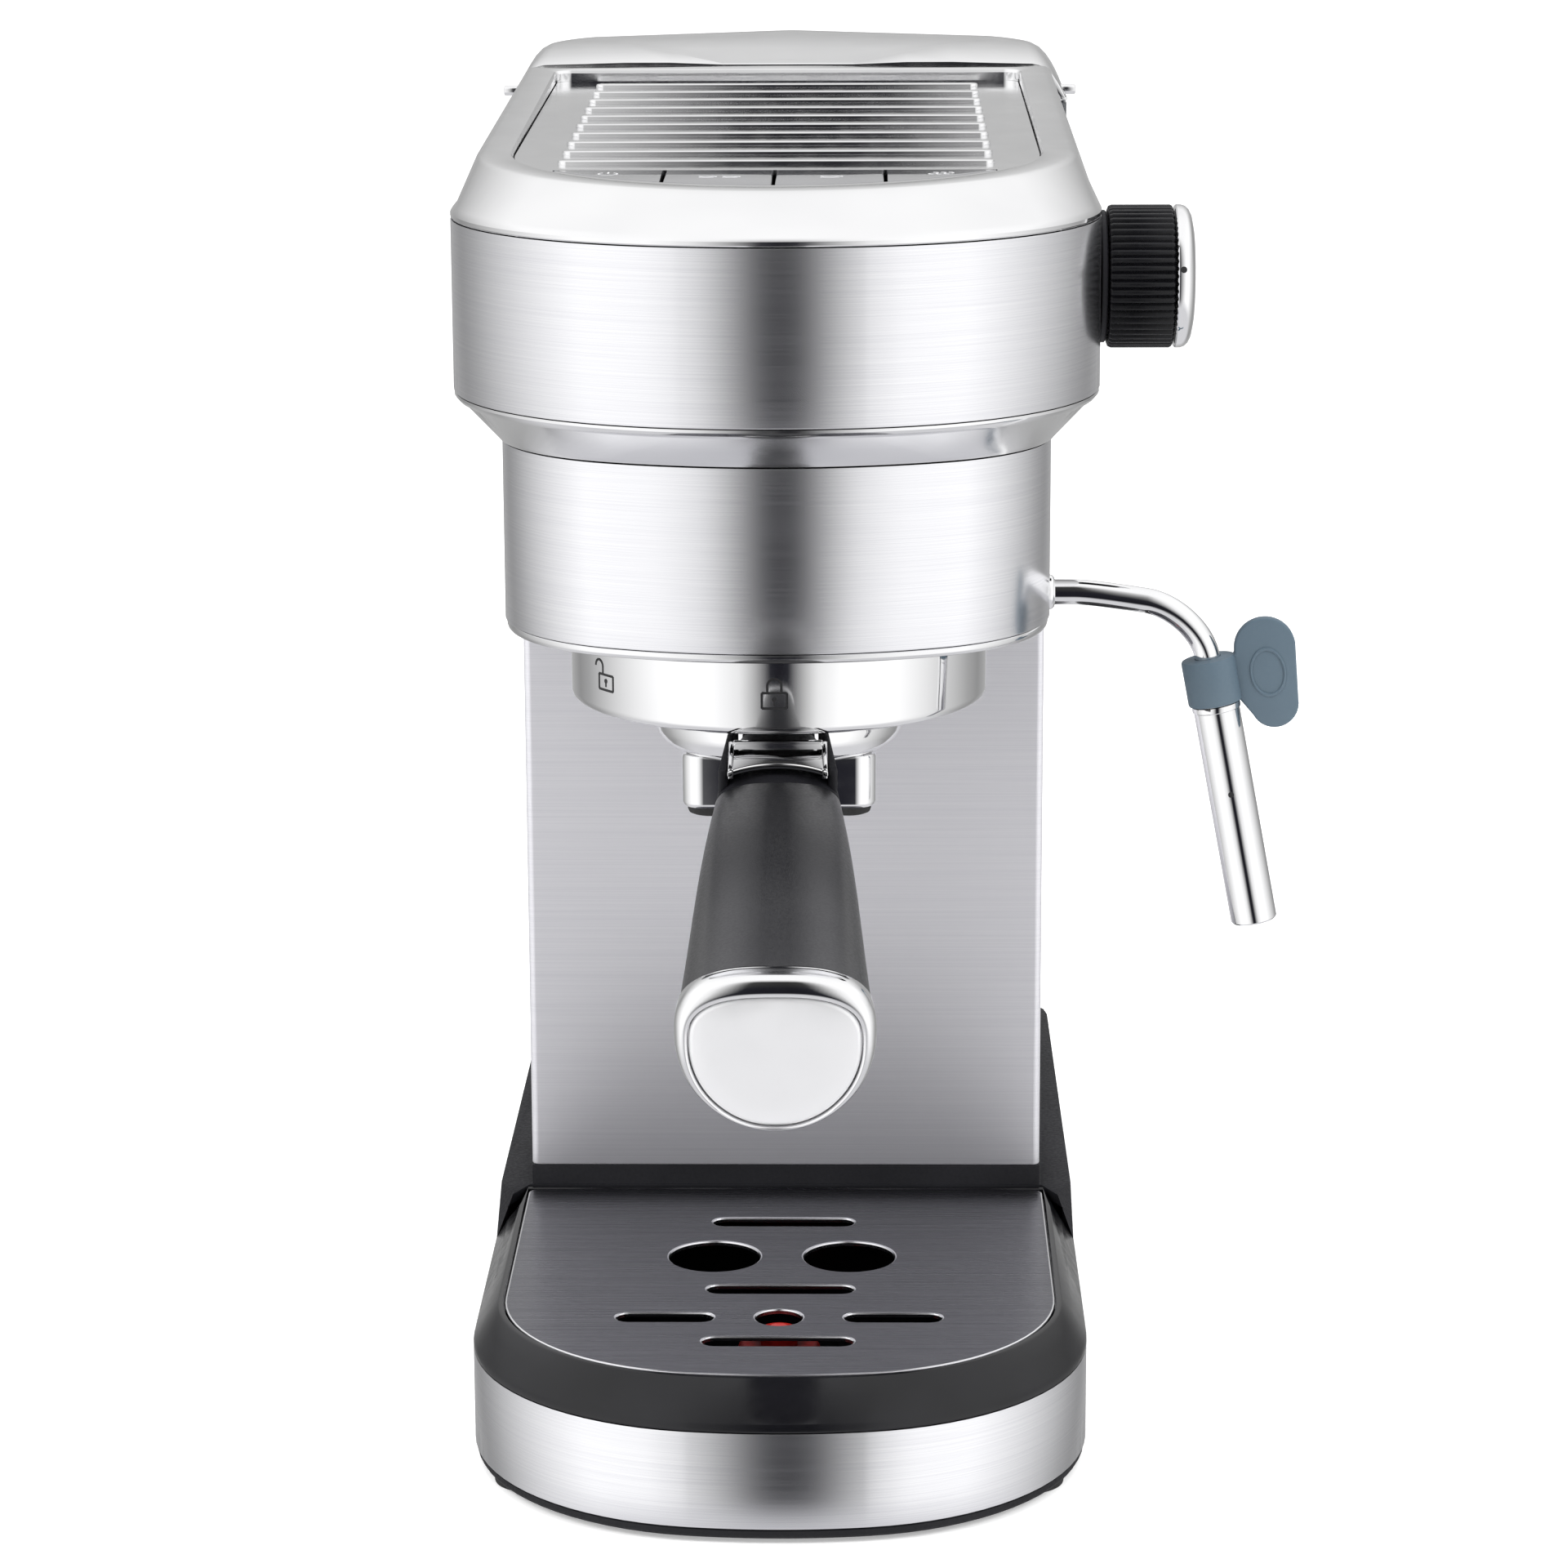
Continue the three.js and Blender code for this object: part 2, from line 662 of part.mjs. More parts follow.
// Where a front curve's side is at a given Y.
function sideAt({ half, front, frontR, cornerR }, y) {
  const cornerY = front + frontR - Math.sqrt((frontR - cornerR) ** 2 - (half - cornerR) ** 2);
  return half - cornerR + Math.sqrt(cornerR ** 2 - Math.max(0, cornerY - y) ** 2);
}
const neckSide = sideAt(neckCurveAt(0), wandY);
const headSide = sideAt(headCurveAt(0), knobY);
// The socket's flange lies inside the wall, clear of its curve.
const flangeFace = sideAt(neckCurveAt(0), wandY - socketRadius - socketFlange) - steelSheet - seatGap;

const housing = new THREE.Group();
machine.add(housing);
add(housing, 'column_core', columnCore(), blackMatte);
add(housing, 'column_panel', wrap(columnCurve, steelSheet, columnBottom, columnTop), brushedSteel);
add(housing, 'neck_floor', neckFloor(), blackMatte);
add(housing, 'neck_trim', wrap(
  { ...neckCurveAt(0.4), rear: columnFront - seatGap * 2 }, steelSheet, trimBottom, trimBottom + neckTrimHeight,
), brightChrome);
add(housing, 'neck_band', neckBand(), brushedSteel);
add(housing, 'head_chassis', headChassis(), blackMatte);
add(housing, 'transition_cone', transitionCone(), brightChrome);
add(housing, 'head_band', headBand(), brushedSteel);

// ---------------------------------------------------------------- group and works

function groupRing() {
  const ring = turned([
    [ringRadius - 4, ringBottom], [ringRadius - 1.2, ringBottom + 0.8], [ringRadius, ringBottom + 3.4],
    [ringRadius, ringTop], [ringInner, ringTop], [ringInner, ledgeTop],
    [ringInner - ledgeWidth, ledgeTop], [ringInner - ledgeWidth, ringBottom + 0.4],
    [ringInner - ledgeWidth + 0.6, ringBottom], [ringRadius - 4, ringBottom],
  ], 40);
  const passages = lugAngles.map((angle) => lugWedge(
    angle - lockAngle * deg, (lugHalfAngle + 4) * deg, ringInner + 0.01, ringBottom - 1, ledgeTop + 0.01,
  ));
  return cut(ring, ...passages).translate(0, groupY, 0);
}
const lugAngles = Array.from({ length: lugCount }, (_, i) => Math.PI / 2 + (i * 2 * Math.PI) / lugCount);

// Sector of a disc about Z, used for the portafilter's lugs and the gaps that let them in.
function lugWedge(middle, halfAngle, radius, z0, z1, from = 0) {
  const rim = arc(0, 0, radius, middle - halfAngle, middle + halfAngle, 5);
  const back = from > 0
    ? arc(0, 0, from, middle + halfAngle, middle - halfAngle, 5)
    : [new THREE.Vector2(0, 0)];
  return prism([...rim, ...back], z0, z1);
}

function groupHead() {
  const outer = ringInner - slideGap;
  const head = turned([
    [0, gasketBottom + 2.8], [gasketInner - 0.5, gasketBottom + 2.8], [gasketInner - 0.5, gasketTop + seatGap],
    [gasketOuter + 0.4, gasketTop + seatGap], [gasketOuter + 0.4, gasketBottom + 0.6],
    [outer, gasketBottom + 0.6], [outer, ringTop + 2], [outer - 6, ringTop + 4],
    [outer - 6, groupTop], [0, groupTop],
  ], 36);
  return cut(head, barZ(screwShank + seatGap, gasketBottom, gasketBottom + 12)).translate(0, groupY, 0);
}
const screwShank = 2;

const showerScreen = () => turned([
  [screwShank + seatGap, gasketBottom + 1.4], [6, gasketBottom + 1.4], [gasketInner - 1.6, gasketBottom + 0.3],
  [gasketInner - 1, gasketBottom + 0.3], [gasketInner - 1, gasketBottom + 2.4],
  [gasketInner - 1.6, gasketBottom + 2.4], [6, gasketBottom + 2.2], [screwShank + seatGap, gasketBottom + 2.2],
  [screwShank + seatGap, gasketBottom + 1.4],
]).translate(0, groupY, 0);

const showerScrew = () => turned([
  [0, gasketBottom + 0.1], [3.4, gasketBottom + 0.1], [3.8, gasketBottom + 1.1],
  [screwShank, gasketBottom + 1.1], [screwShank, gasketBottom + 10], [0, gasketBottom + 10],
], 16).translate(0, groupY, 0);

const gasket = () => turned([
  [gasketInner, gasketBottom], [gasketOuter, gasketBottom], [gasketOuter, gasketTop],
  [gasketInner, gasketTop], [gasketInner, gasketBottom],
]).translate(0, groupY, 0);

const boilerBottom = groupTop + seatGap;
const boilerBody = () => join(
  block(-boiler.half, boiler.half, boiler.front, boiler.rear, boilerBottom, boilerBottom + boiler.height),
  barZ(12, boilerBottom + boiler.height - 1, boilerBottom + boiler.height + 5, 0, groupY),
);

// Steam valve with the bore that its spindle turns in.
const valveOuter = headSide - shaftInHead;
function steamValve() {
  const body = join(
    block(valveOuter - 20, valveOuter, knobY - 9, knobY + 9, knobZ - 9, knobZ + 9),
    barX(7, valveOuter - 1, valveOuter + 8, knobY, knobZ),
  );
  return cut(body, barX(shaftRadius + slideGap, valveOuter - 6, valveOuter + 9, knobY, knobZ));
}

const pumpBottom = plinthTop + 22;
const pump = () => join(
  barZ(pumpRadius, pumpBottom, pumpBottom + pumpLength * 0.6, 0, pumpY),
  barZ(pumpRadius * 0.55, pumpBottom + pumpLength * 0.6 - 1, pumpBottom + pumpLength, 0, pumpY),
  barZ(5, pumpBottom - 8, pumpBottom + 1, 0, pumpY),
);

// Round hose or tube along a path.
const tube = (path, radius, steps, sides = 10) => new THREE.ExtrudeGeometry(
  new THREE.Shape(circle(0, 0, radius, sides)),
  { steps, bevelEnabled: false, extrudePath: path },
);
const spline = (...points) => new THREE.CatmullRomCurve3(points.map((p) => new THREE.Vector3(...p)));

const socketBottom = deckTop - tankPocket - plasticWall - seatGap - outletDrop - 5;
const hosePort = socketBottom + 4;
const tankSocket = () => cut(
  barZ(outletRadius + 4, socketBottom, deckTop - tankPocket - plasticWall - seatGap, 0, outletY),
  barZ(outletRadius + slideGap, socketBottom + 3, deckTop, 0, outletY),
);
const suctionHose = () => tube(spline(
  [0, outletY - outletRadius - 4 - seatGap, hosePort], [0, outletY - 30, hosePort],
  [0, pumpY + 16, hosePort + 3], [0, pumpY, hosePort + 18], [0, pumpY, pumpBottom - 8 - seatGap],
), hoseRadius, 14, 8);
const pressureHose = () => tube(spline(
  [0, pumpY, pumpBottom + pumpLength + seatGap], [0, pumpY, pumpBottom + pumpLength + 16],
  [0, pumpY - 22, columnTop + 6], [0, boiler.rear + 26, boilerBottom - 8],
  [0, boiler.rear + 14, boilerBottom + 3], [0, boiler.rear + 1.2, boilerBottom + 5],
), hoseRadius, 14, 8);

const works = new THREE.Group();
machine.add(works);
add(works, 'group_ring', groupRing(), brightChrome);
add(works, 'group_head', groupHead(), castAluminium);
add(works, 'group_gasket', gasket(), rubber);
add(works, 'shower_screen', showerScreen(), brushedSteel);
add(works, 'shower_screw', showerScrew(), brushedSteel);
add(works, 'boiler', boilerBody(), castAluminium);
add(works, 'steam_valve', steamValve(), brass);
add(works, 'pump', pump(), castAluminium);
add(works, 'suction_hose', suctionHose(), silicone);
add(works, 'pressure_hose', pressureHose(), silicone);
add(works, 'tank_socket', tankSocket(), blackMatte);

// ---------------------------------------------------------------- portafilter

function portafilterBody() {
  const cup = turned([
    [0, bowlBottom], [bowlRadius - 5, bowlBottom], [bowlRadius - 1.4, bowlBottom + 1.6],
    [bowlRadius, bowlBottom + 5], [bowlRadius, lugBottom - 2.2], [flangeRadius, lugBottom + 0.4],
    [flangeRadius, flangeTop], [bowlInner, flangeTop], [bowlInner, bowlBottom + bowlWall], [0, bowlBottom + bowlWall],
  ], 40);
  const lugs = lugAngles.map((angle) => lugWedge(
    angle, lugHalfAngle * deg, ringInner - slideGap, lugBottom, lugBottom + lugHeight, flangeRadius - 2,
  ));
  return cut(join(cup, ...lugs), ...[-1, 1].map((side) =>
    barZ(tipBore, bowlBottom - 1, bowlBottom + 5, side * spoutX, 0))).translate(0, groupY, 0);
}

const basketFloor = basketTop - basketDepth;
const filterBasket = () => turned([
  [0, basketFloor], [basketRadius - 2, basketFloor], [basketRadius, basketFloor + 2],
  [basketRadius, basketRimZ], [basketRadius + basketRimWidth, basketRimZ],
  [basketRadius + basketRimWidth, basketTop], [basketRadius - basketSheet, basketTop],
  [basketRadius - basketSheet, basketFloor + 2.4], [basketRadius - 2.4, basketFloor + basketSheet],
  [0, basketFloor + basketSheet],
], 36).translate(0, groupY, 0);

function spoutBlock() {
  const half = spoutHalfWidth;
  const corner = 5;
  const right = [
    ...arc(half - corner, -spoutHalfDepth + corner, corner, -Math.PI / 2, 0, 4),
    ...arc(half - corner, spoutHalfDepth - corner, corner, 0, Math.PI / 2, 4),
  ];
  const body = prism([...mirrored(right), ...right], spoutBottom, spoutTop);
  const channel = block(-spoutX - tipBore, spoutX + tipBore, -4, 4, spoutTop - 6, spoutTop + 1);
  const bores = [-1, 1].map((side) => barZ(tipBore, spoutBottom - 1, spoutTop, side * spoutX, 0));
  return cut(body, channel, ...bores).translate(0, groupY, 0);
}

const spoutTip = (side) => turned([
  [tipBore, spoutBottom - seatGap - tipDrop], [tipRadius - 0.8, spoutBottom - seatGap - tipDrop],
  [tipRadius, spoutBottom - seatGap - tipDrop + 1], [tipRadius, spoutBottom - seatGap],
  [tipBore, spoutBottom - seatGap], [tipBore, spoutBottom - seatGap - tipDrop],
], 20).translate(side * spoutX, groupY, 0);

// The locked portafilter is turned a little about the group axis.
const portafilter = new THREE.Group();
const lockedAngle = lockedTurn * deg;
portafilter.position.set(groupY * Math.sin(lockedAngle), groupY * (1 - Math.cos(lockedAngle)), 0);
portafilter.rotation.z = lockedAngle;
machine.add(portafilter);
add(portafilter, 'portafilter_body', portafilterBody(), brightChrome);
add(portafilter, 'filter_basket', filterBasket(), brushedSteel);
add(portafilter, 'portafilter_spout', spoutBlock(), brightChrome);
add(portafilter, 'spout_tip_left', spoutTip(-1), blackMatte);
add(portafilter, 'spout_tip_right', spoutTip(1), blackMatte);

// The handle's own frame: it leaves the bowl along -Y, tilted downwards.
const handle = new THREE.Group();
handle.position.set(0, groupY - bowlRadius, ringBottom - handleAxisDrop + 4);
handle.rotation.x = handleTilt * deg;
portafilter.add(handle);

// Handle section: flat top with round shoulders and a narrower round underside.
function handleSection(along, { half, up, down }, by = 0, count = 28) {
  const points = [];
  for (let i = 0; i < count; i += 1) {
    const angle = (2 * Math.PI * i) / count;
    const [c, s] = [Math.cos(angle), Math.sin(angle)];
    const power = s > 0 ? 0.62 : 0.9;
    const taper = s > 0 ? 1 : 1 - 0.12 * s * s;
    points.push(new THREE.Vector3(
      (half - by) * taper * Math.sign(c) * Math.abs(c) ** power, -along,
      s > 0 ? (up - by) * s ** power : -(down - by) * Math.abs(s) ** power,
    ));
  }
  return points;
}

// Solid through handle sections, which stand upright along -Y.
function handleLoft(sections) {
  const turnedUp = sections.map((loop) => loop.map((p) => new THREE.Vector3(p.x, p.z, -p.y)));
  return loft(turnedUp).rotateX(Math.PI / 2);
}
const mixSection = (a, b, t) => ({
  half: a.half + (b.half - a.half) * t,
  up: a.up + (b.up - a.up) * t,
  down: a.down + (b.down - a.down) * t,
});

const neckEnd = neckLength;
const gripFrom = neckEnd + seatGap;
const gripTo = gripFrom + gripLength;
const endRingFrom = gripTo + seatGap;
const endRingTo = endRingFrom + endRingLength;
const clipZ = gripStart.up + seatGap;

function handleNeck() {
  const neck = handleLoft([
    handleSection(1.2, neckStart),
    handleSection(clipStart, { half: neckStart.half + 1.5, up: neckStart.up, down: neckStart.down + 1 }),
    handleSection(neckEnd - 6, { half: gripStart.half - 0.6, up: gripStart.up - 1.4, down: gripStart.down }),
    handleSection(neckEnd, { half: gripStart.half, up: gripStart.up - 1.4, down: gripStart.down }),
  ]);
  const bowlClear = turned([[0, -20], [bowlRadius + seatGap, -20], [bowlRadius + seatGap, 30], [0, 30]], 40)
    .translate(0, bowlRadius, 0).rotateX(-handleTilt * deg);
  return cut(neck, bowlClear);
}

function handleGrip() {
  const waist = mixSection(gripStart, gripEnd, 0.45);
  return handleLoft([
    handleSection(gripFrom, gripStart, 0.8),
    handleSection(gripFrom + 1.5, gripStart),
    handleSection(gripFrom + gripLength * 0.33, mixSection(gripStart, gripEnd, 0.38)),
    handleSection(gripFrom + gripLength * 0.45, waist),
    handleSection(gripFrom + gripLength * 0.75, mixSection(gripStart, gripEnd, 0.82)),
    handleSection(gripTo, gripEnd),
  ]);
}

const endSection = {
  half: gripEnd.half + endRingLip, up: gripEnd.up + endRingLip, down: gripEnd.down + endRingLip,
};
function handleEndRing() {
  const ring = handleLoft([
    handleSection(endRingFrom, endSection, 0.8),
    handleSection(endRingFrom + 1.2, endSection),
    handleSection(endRingTo - 2.4, endSection),
    handleSection(endRingTo, endSection, 2),
  ]);
  const seat = handleLoft([
    handleSection(endRingTo - endPlateThickness - seatGap, endSection, endPlateInset - seatGap),
    handleSection(endRingTo + 2, endSection, endPlateInset - seatGap),
  ]);
  return cut(ring, seat);
}
const handleEndPlate = () => handleLoft([
  handleSection(endRingTo - endPlateThickness, endSection, endPlateInset),
  handleSection(endRingTo - 0.6, endSection, endPlateInset),
  handleSection(endRingTo - 0.2, endSection, endPlateInset + 0.8),
]);

// Sprung plate that flips up to hold the basket while the grounds are knocked out.
function basketClip() {
  const half = gripStart.half - 1.2;
  const to = clipStart + clipLength;
  const plate = block(-half, half, -to, -clipStart, clipZ, clipZ + clipThickness);
  const sides = [-1, 1].map((side) => {
    const x = side * (half - clipThickness / 2);
    return block(x - clipThickness / 2, x + clipThickness / 2, -to, -to + 9, clipZ - clipSide * 0.2, clipZ + 1);
  });
  const archRadius = half * 1.25;
  const arch = barZ(archRadius, clipZ - 9, clipZ + 9, 0, -to - archRadius + 4, 32);
  return cut(join(plate, ...sides), arch);
}
add(handle, 'handle_neck', handleNeck(), blackMatte);
add(handle, 'handle_grip', handleGrip(), softTouch);
add(handle, 'handle_end_ring', handleEndRing(), brightChrome);
add(handle, 'handle_end_plate', handleEndPlate(), satinPlate);
add(handle, 'basket_clip', basketClip(), brightChrome);

// ---------------------------------------------------------------- steam knob

const collarOut = headSide + seatGap + knobCollarThickness;
const knobIn = collarOut + seatGap;
const knobOut = knobIn + knobLength;

function knobRim(radius) {
  const points = [];
  for (let i = 0; i < knobRibs * 2; i += 1) {
    const angle = (Math.PI * i) / knobRibs;
    const r = i % 2 ? radius - knobRibDepth : radius;
    points.push(new THREE.Vector2(r * Math.cos(angle), r * Math.sin(angle)));
  }
  return points;
}
const alongX = (geometry) => geometry.rotateY(Math.PI / 2).translate(0, knobY, knobZ);

const knob = new THREE.Group();
machine.add(knob);
add(knob, 'knob_collar', alongX(turned([
  [shaftRadius + 1, headSide + seatGap], [knobCollarRadius, headSide + seatGap],
  [knobCollarRadius, collarOut], [shaftRadius + 1, collarOut], [shaftRadius + 1, headSide + seatGap],
])), blackMatte);
add(knob, 'steam_knob', cut(
  alongX(prism(knobRim(knobRadius), knobIn, knobOut)),
  barX(shaftRadius + seatGap, knobIn - 1, knobIn + shaftInKnob + seatGap, knobY, knobZ),
), blackGloss);
add(knob, 'knob_cap', alongX(turned([
  [0, knobOut + seatGap], [knobRadius, knobOut + seatGap], [knobRadius, knobOut + 2],
  [knobRadius - 1.6, knobOut + knobCapLength - 1], [knobRadius - 5, knobOut + knobCapLength],
  [0, knobOut + knobCapLength],
])), brightChrome);
add(knob, 'knob_spindle',
  barX(shaftRadius, valveOuter - 5.5, knobIn + shaftInKnob, knobY, knobZ), brass);

// ---------------------------------------------------------------- steam wand

const elbowFrom = neckSide + elbowStart;
const elbowTo = elbowFrom + elbowReach;
const elbowZ = wandZ - wandDrop;
const wandDown = new THREE.Vector3(Math.sin(wandTilt * deg), 0, -Math.cos(wandTilt * deg));
const wandTop = new THREE.Vector3(elbowTo, wandY, elbowZ - elbowDrop);
const wandEnd = wandTop.clone().addScaledVector(wandDown, wandStraight);

function wandTube() {
  const path = new THREE.CurvePath();
  const inner = new THREE.Vector3(neckSide - 8, wandY, wandZ);
  const exit = new THREE.Vector3(neckSide + socketOut + 2, wandY, wandZ);
  const bend = new THREE.Vector3(elbowFrom, wandY, elbowZ);
  path.add(new THREE.LineCurve3(inner, exit));
  path.add(new THREE.CubicBezierCurve3(
    exit, exit.clone().setX(exit.x + 4), bend.clone().add(new THREE.Vector3(-4, 0, 0.6)), bend,
  ));
  path.add(new THREE.CubicBezierCurve3(
    bend, bend.clone().add(new THREE.Vector3(elbowReach * 0.42, 0, -0.9)),
    wandTop.clone().addScaledVector(wandDown, -elbowDrop / 2), wandTop,
  ));
  path.add(new THREE.LineCurve3(wandTop, wandEnd));
  return tube(path, wandRadius, 26, 12);
}

const wandSocket = () => cut(
  join(
    barX(socketRadius, neckSide - 6, neckSide + socketOut, wandY, wandZ),
    barX(socketRadius + socketFlange, neckSide - 6, flangeFace, wandY, wandZ),
  ),
  barX(wandRadius + slideGap, neckSide - 9, neckSide + socketOut + 1, wandY, wandZ),
);

// The wand's own frame: it hangs along -Z from the end of the elbow, tilted outwards.
const wand = new THREE.Group();
wand.position.copy(wandTop);
wand.rotation.y = -wandTilt * deg;
machine.add(wand);
const bandTopZ = 0;
const sleeveTopZ = bandTopZ - gripBandLength + 3;

function wandGrip() {
  const band = barZ(gripBandRadius, bandTopZ - gripBandLength, bandTopZ);
  const paddle = [
    ...arc(paddleX, 0, paddleTopRadius, Math.PI, 0, 8),
    ...arc(paddleX, -paddleDrop, paddleLowRadius, 0, -Math.PI * 0.9, 8),
    new THREE.Vector2(gripBandRadius - 1, -gripBandLength + 0.4), new THREE.Vector2(gripBandRadius - 1, -0.4),
  ].reverse();
  const tab = prism(paddle, -paddleThickness / 2, paddleThickness / 2)
    .rotateX(Math.PI / 2).translate(0, 0, bandTopZ);
  return cut(
    join(band, tab),
    barZ(wandRadius + slideGap, bandTopZ - gripBandLength - 1, bandTopZ + 1),
    barZ(sleeveRadius + seatGap, bandTopZ - gripBandLength - 1, sleeveTopZ + seatGap),
  );
}

const sleeveEndZ = sleeveTopZ - sleeveLength;
const wandSleeve = () => turned([
  [wandRadius + slideGap, sleeveTopZ], [sleeveRadius - 0.6, sleeveTopZ], [sleeveRadius, sleeveTopZ - 0.6],
  [sleeveRadius, sleeveEndZ], [sleeveRadius - sleeveWall, sleeveEndZ],
  [sleeveRadius - sleeveWall, sleeveTopZ - sleeveCollar - 1], [wandRadius + slideGap, sleeveTopZ - sleeveCollar],
  [wandRadius + slideGap, sleeveTopZ],
], 24);
const nozzle = () => turned([
  [0, -wandStraight - seatGap], [wandRadius, -wandStraight - seatGap],
  [wandRadius, -wandStraight - nozzleLength + 2], [1.6, -wandStraight - nozzleLength],
  [0, -wandStraight - nozzleLength],
], 16);

add(machine, 'wand_socket', wandSocket(), brightChrome);
add(machine, 'wand_tube', wandTube(), brightChrome);
add(wand, 'wand_grip', wandGrip(), silicone);
add(wand, 'wand_sleeve', wandSleeve(), brightChrome);
add(wand, 'wand_nozzle', nozzle(), brightChrome);

// ---------------------------------------------------------------- top frame, warmer and keys

const rimCurveAt = (by) => inset({ half: rimHalfWidth, rear: housingRear, ...rimCurve }, by);
const deck = new THREE.Group();
const deckTilt = Math.atan(deckSlope);
deck.position.set(0, rimCurve.front, rimZ);
deck.rotation.x = deckTilt;
machine.add(deck);
// In the deck's frame Z = 0 is the rim, and Y is measured from the rim's front.
const onDeck = (y) => y - rimCurve.front;
const recessCurve = {
  half: rimHalfWidth - recessInset, front: onDeck(rimCurve.front + recessFrontInset),
  frontR: rimCurve.frontR - recessInset, cornerR: rimCurve.cornerR - recessInset,
  rear: onDeck(recessRear), rearR: 4,
};

function topFrame() {
  const keepRear = (loop) => loop.map((p) => new THREE.Vector2(p.x, Math.min(p.y, housingRear)));
  const shell = loft([
    lift(keepRear(outline(headCurveAt(0))), frameBottom),
    lift(keepRear(outline(headCurveAt(0))), frameBottom + 1),
    lift(keepRear(outline(rimCurveAt(0))), deckZ),
  ]);
  const skirt = plateSheet + seatGap + plasticWall;
  const under = prism(outline(headCurveAt(skirt)), frameBottom - 1, frameBottom + 3.5);
  const place = (geometry) => geometry.rotateX(deckTilt).translate(0, rimCurve.front, rimZ);
  const recess = place(prism(outline(recessCurve), -recessDepth - plateSheet - seatGap, 20));
  const well = place(prism(outline(inset(recessCurve, ledge)), -20, 20));
  return cut(shell, under, recess, well);
}

// Keys fill the segment between a straight rear edge and a front arc.
const keyArcR = (keyHalfWidth ** 2 + (keyRear - keyFront) ** 2) / (2 * (keyRear - keyFront));
const keyArcY = (x) => onDeck(keyFront) + keyArcR - Math.sqrt(keyArcR ** 2 - x ** 2);
function keyOutline(x0, x1, steps, grow = 0) {
  const front = [];
  for (let i = 0; i <= steps; i += 1) {
    const x = x0 + ((x1 - x0) * i) / steps;
    front.push(new THREE.Vector2(x, Math.min(keyArcY(x), onDeck(keyRear) - keyEndDepth) - grow));
  }
  const rear = onDeck(keyRear) + grow;
  front[0].x -= grow;
  front[steps].x += grow;
  return [...front, new THREE.Vector2(x1 + grow, rear), new THREE.Vector2(x0 - grow, rear)];
}
const keyTop = -recessDepth;
const keySteps = 5;

function cupWarmer() {
  const plateCurve = inset(recessCurve, seatGap);
  const plate = prism(outline(plateCurve), keyTop - plateSheet, keyTop);
  const keyWindow = prism(
    keyOutline(-keyHalfWidth, keyHalfWidth, keySteps * keyNames.length, seatGap), keyTop - 5, keyTop + 3,
  );
  const ribs = [];
  for (let i = 0; i < ribCount; i += 1) {
    const y = onDeck(ribFirstY + i * ribPitch);
    ribs.push(prism(slot(-ribHalfLength, ribHalfLength, y, ribWidth, 3), keyTop - 0.5, keyTop + ribHeight));
  }
  return cut(join(plate, ...ribs), keyWindow);
}

const keyNames = ['key_power', 'key_two_cups', 'key_one_cup', 'key_steam'];
const boardTop = keyTop - boardDrop;
function key(i) {
  const width = (2 * keyHalfWidth) / keyNames.length;
  const x0 = -keyHalfWidth + i * width + (i ? keyGap / 2 : 0);
  const x1 = -keyHalfWidth + (i + 1) * width - (i + 1 < keyNames.length ? keyGap / 2 : 0);
  const stemX = (Math.max(x0, -keyHalfWidth + 14) + Math.min(x1, keyHalfWidth - 14)) / 2;
  return join(
    prism(keyOutline(x0, x1, keySteps), keyTop - keyHeight, keyTop),
    barZ(keyStemRadius, boardTop + keyTravel + seatGap, keyTop - keyHeight + 0.5, stemX, onDeck(keyRear) - 7, 12),
  );
}

add(machine, 'top_frame', topFrame(), brightChrome);
add(deck, 'cup_warmer', cupWarmer(), satinPlate);
for (const [i, name] of keyNames.entries()) add(deck, name, key(i), keyFace);
add(deck, 'control_board', block(
  -keyHalfWidth, keyHalfWidth, onDeck(keyFront) + 8, onDeck(keyRear) + 8, boardTop - boardThickness, boardTop,
), boardGreen);

// ---------------------------------------------------------------- water tank

function tankLoop(by) {
  const curve = { half: tankHalfWidth, front: tankFront, frontR: Infinity, cornerR: 3, rear: bodyRear - 2 };
  return outline({ ...inset(curve, by), cornerR: Math.max(3 - by, 0.8), rearR: rearCornerR - by });
}
function flangeLoop(by) {
  const curve = { half: bodyHalfWidth, front: tankFront, frontR: Infinity, cornerR: 3, rear: bodyRear };
  return outline({ ...inset(curve, by), cornerR: Math.max(3 - by, 0.8), rearR: rearCornerR - by });
}
const tankBottom = deckTop - tankPocket + seatGap;
const tankTop = headTop + tankFlangeHeight;
const flareTop = tankTop - tankFlangeHeight + 1;

function waterTank() {
  const body = join(
    loft([
      lift(tankLoop(0), tankBottom), lift(tankLoop(0), flareTop - tankFlare),
      lift(flangeLoop(0), flareTop), lift(flangeLoop(0), tankTop),
    ]),
    barZ(outletRadius, tankBottom - outletDrop, tankBottom + 1, 0, outletY),
  );
  const inside = loft([
    lift(tankLoop(tankWall), tankBottom + tankWall), lift(tankLoop(tankWall), flareTop - tankFlare),
    lift(flangeLoop(tankWall), flareTop), lift(flangeLoop(tankWall), tankTop + 1),
  ]);
  return cut(body, inside, barZ(outletBore, tankBottom - outletDrop - 1, tankBottom + 5, 0, outletY, 20));
}

const valveSeat = tankBottom + tankWall + seatGap;
const tankValve = () => turned([
  [0, tankBottom - outletDrop + 1], [2, tankBottom - outletDrop + 1], [2, valveSeat],
  [outletBore + 2, valveSeat], [outletBore + 2, valveSeat + 1.6], [0, valveSeat + 1.6],
], 20).translate(0, outletY, 0);

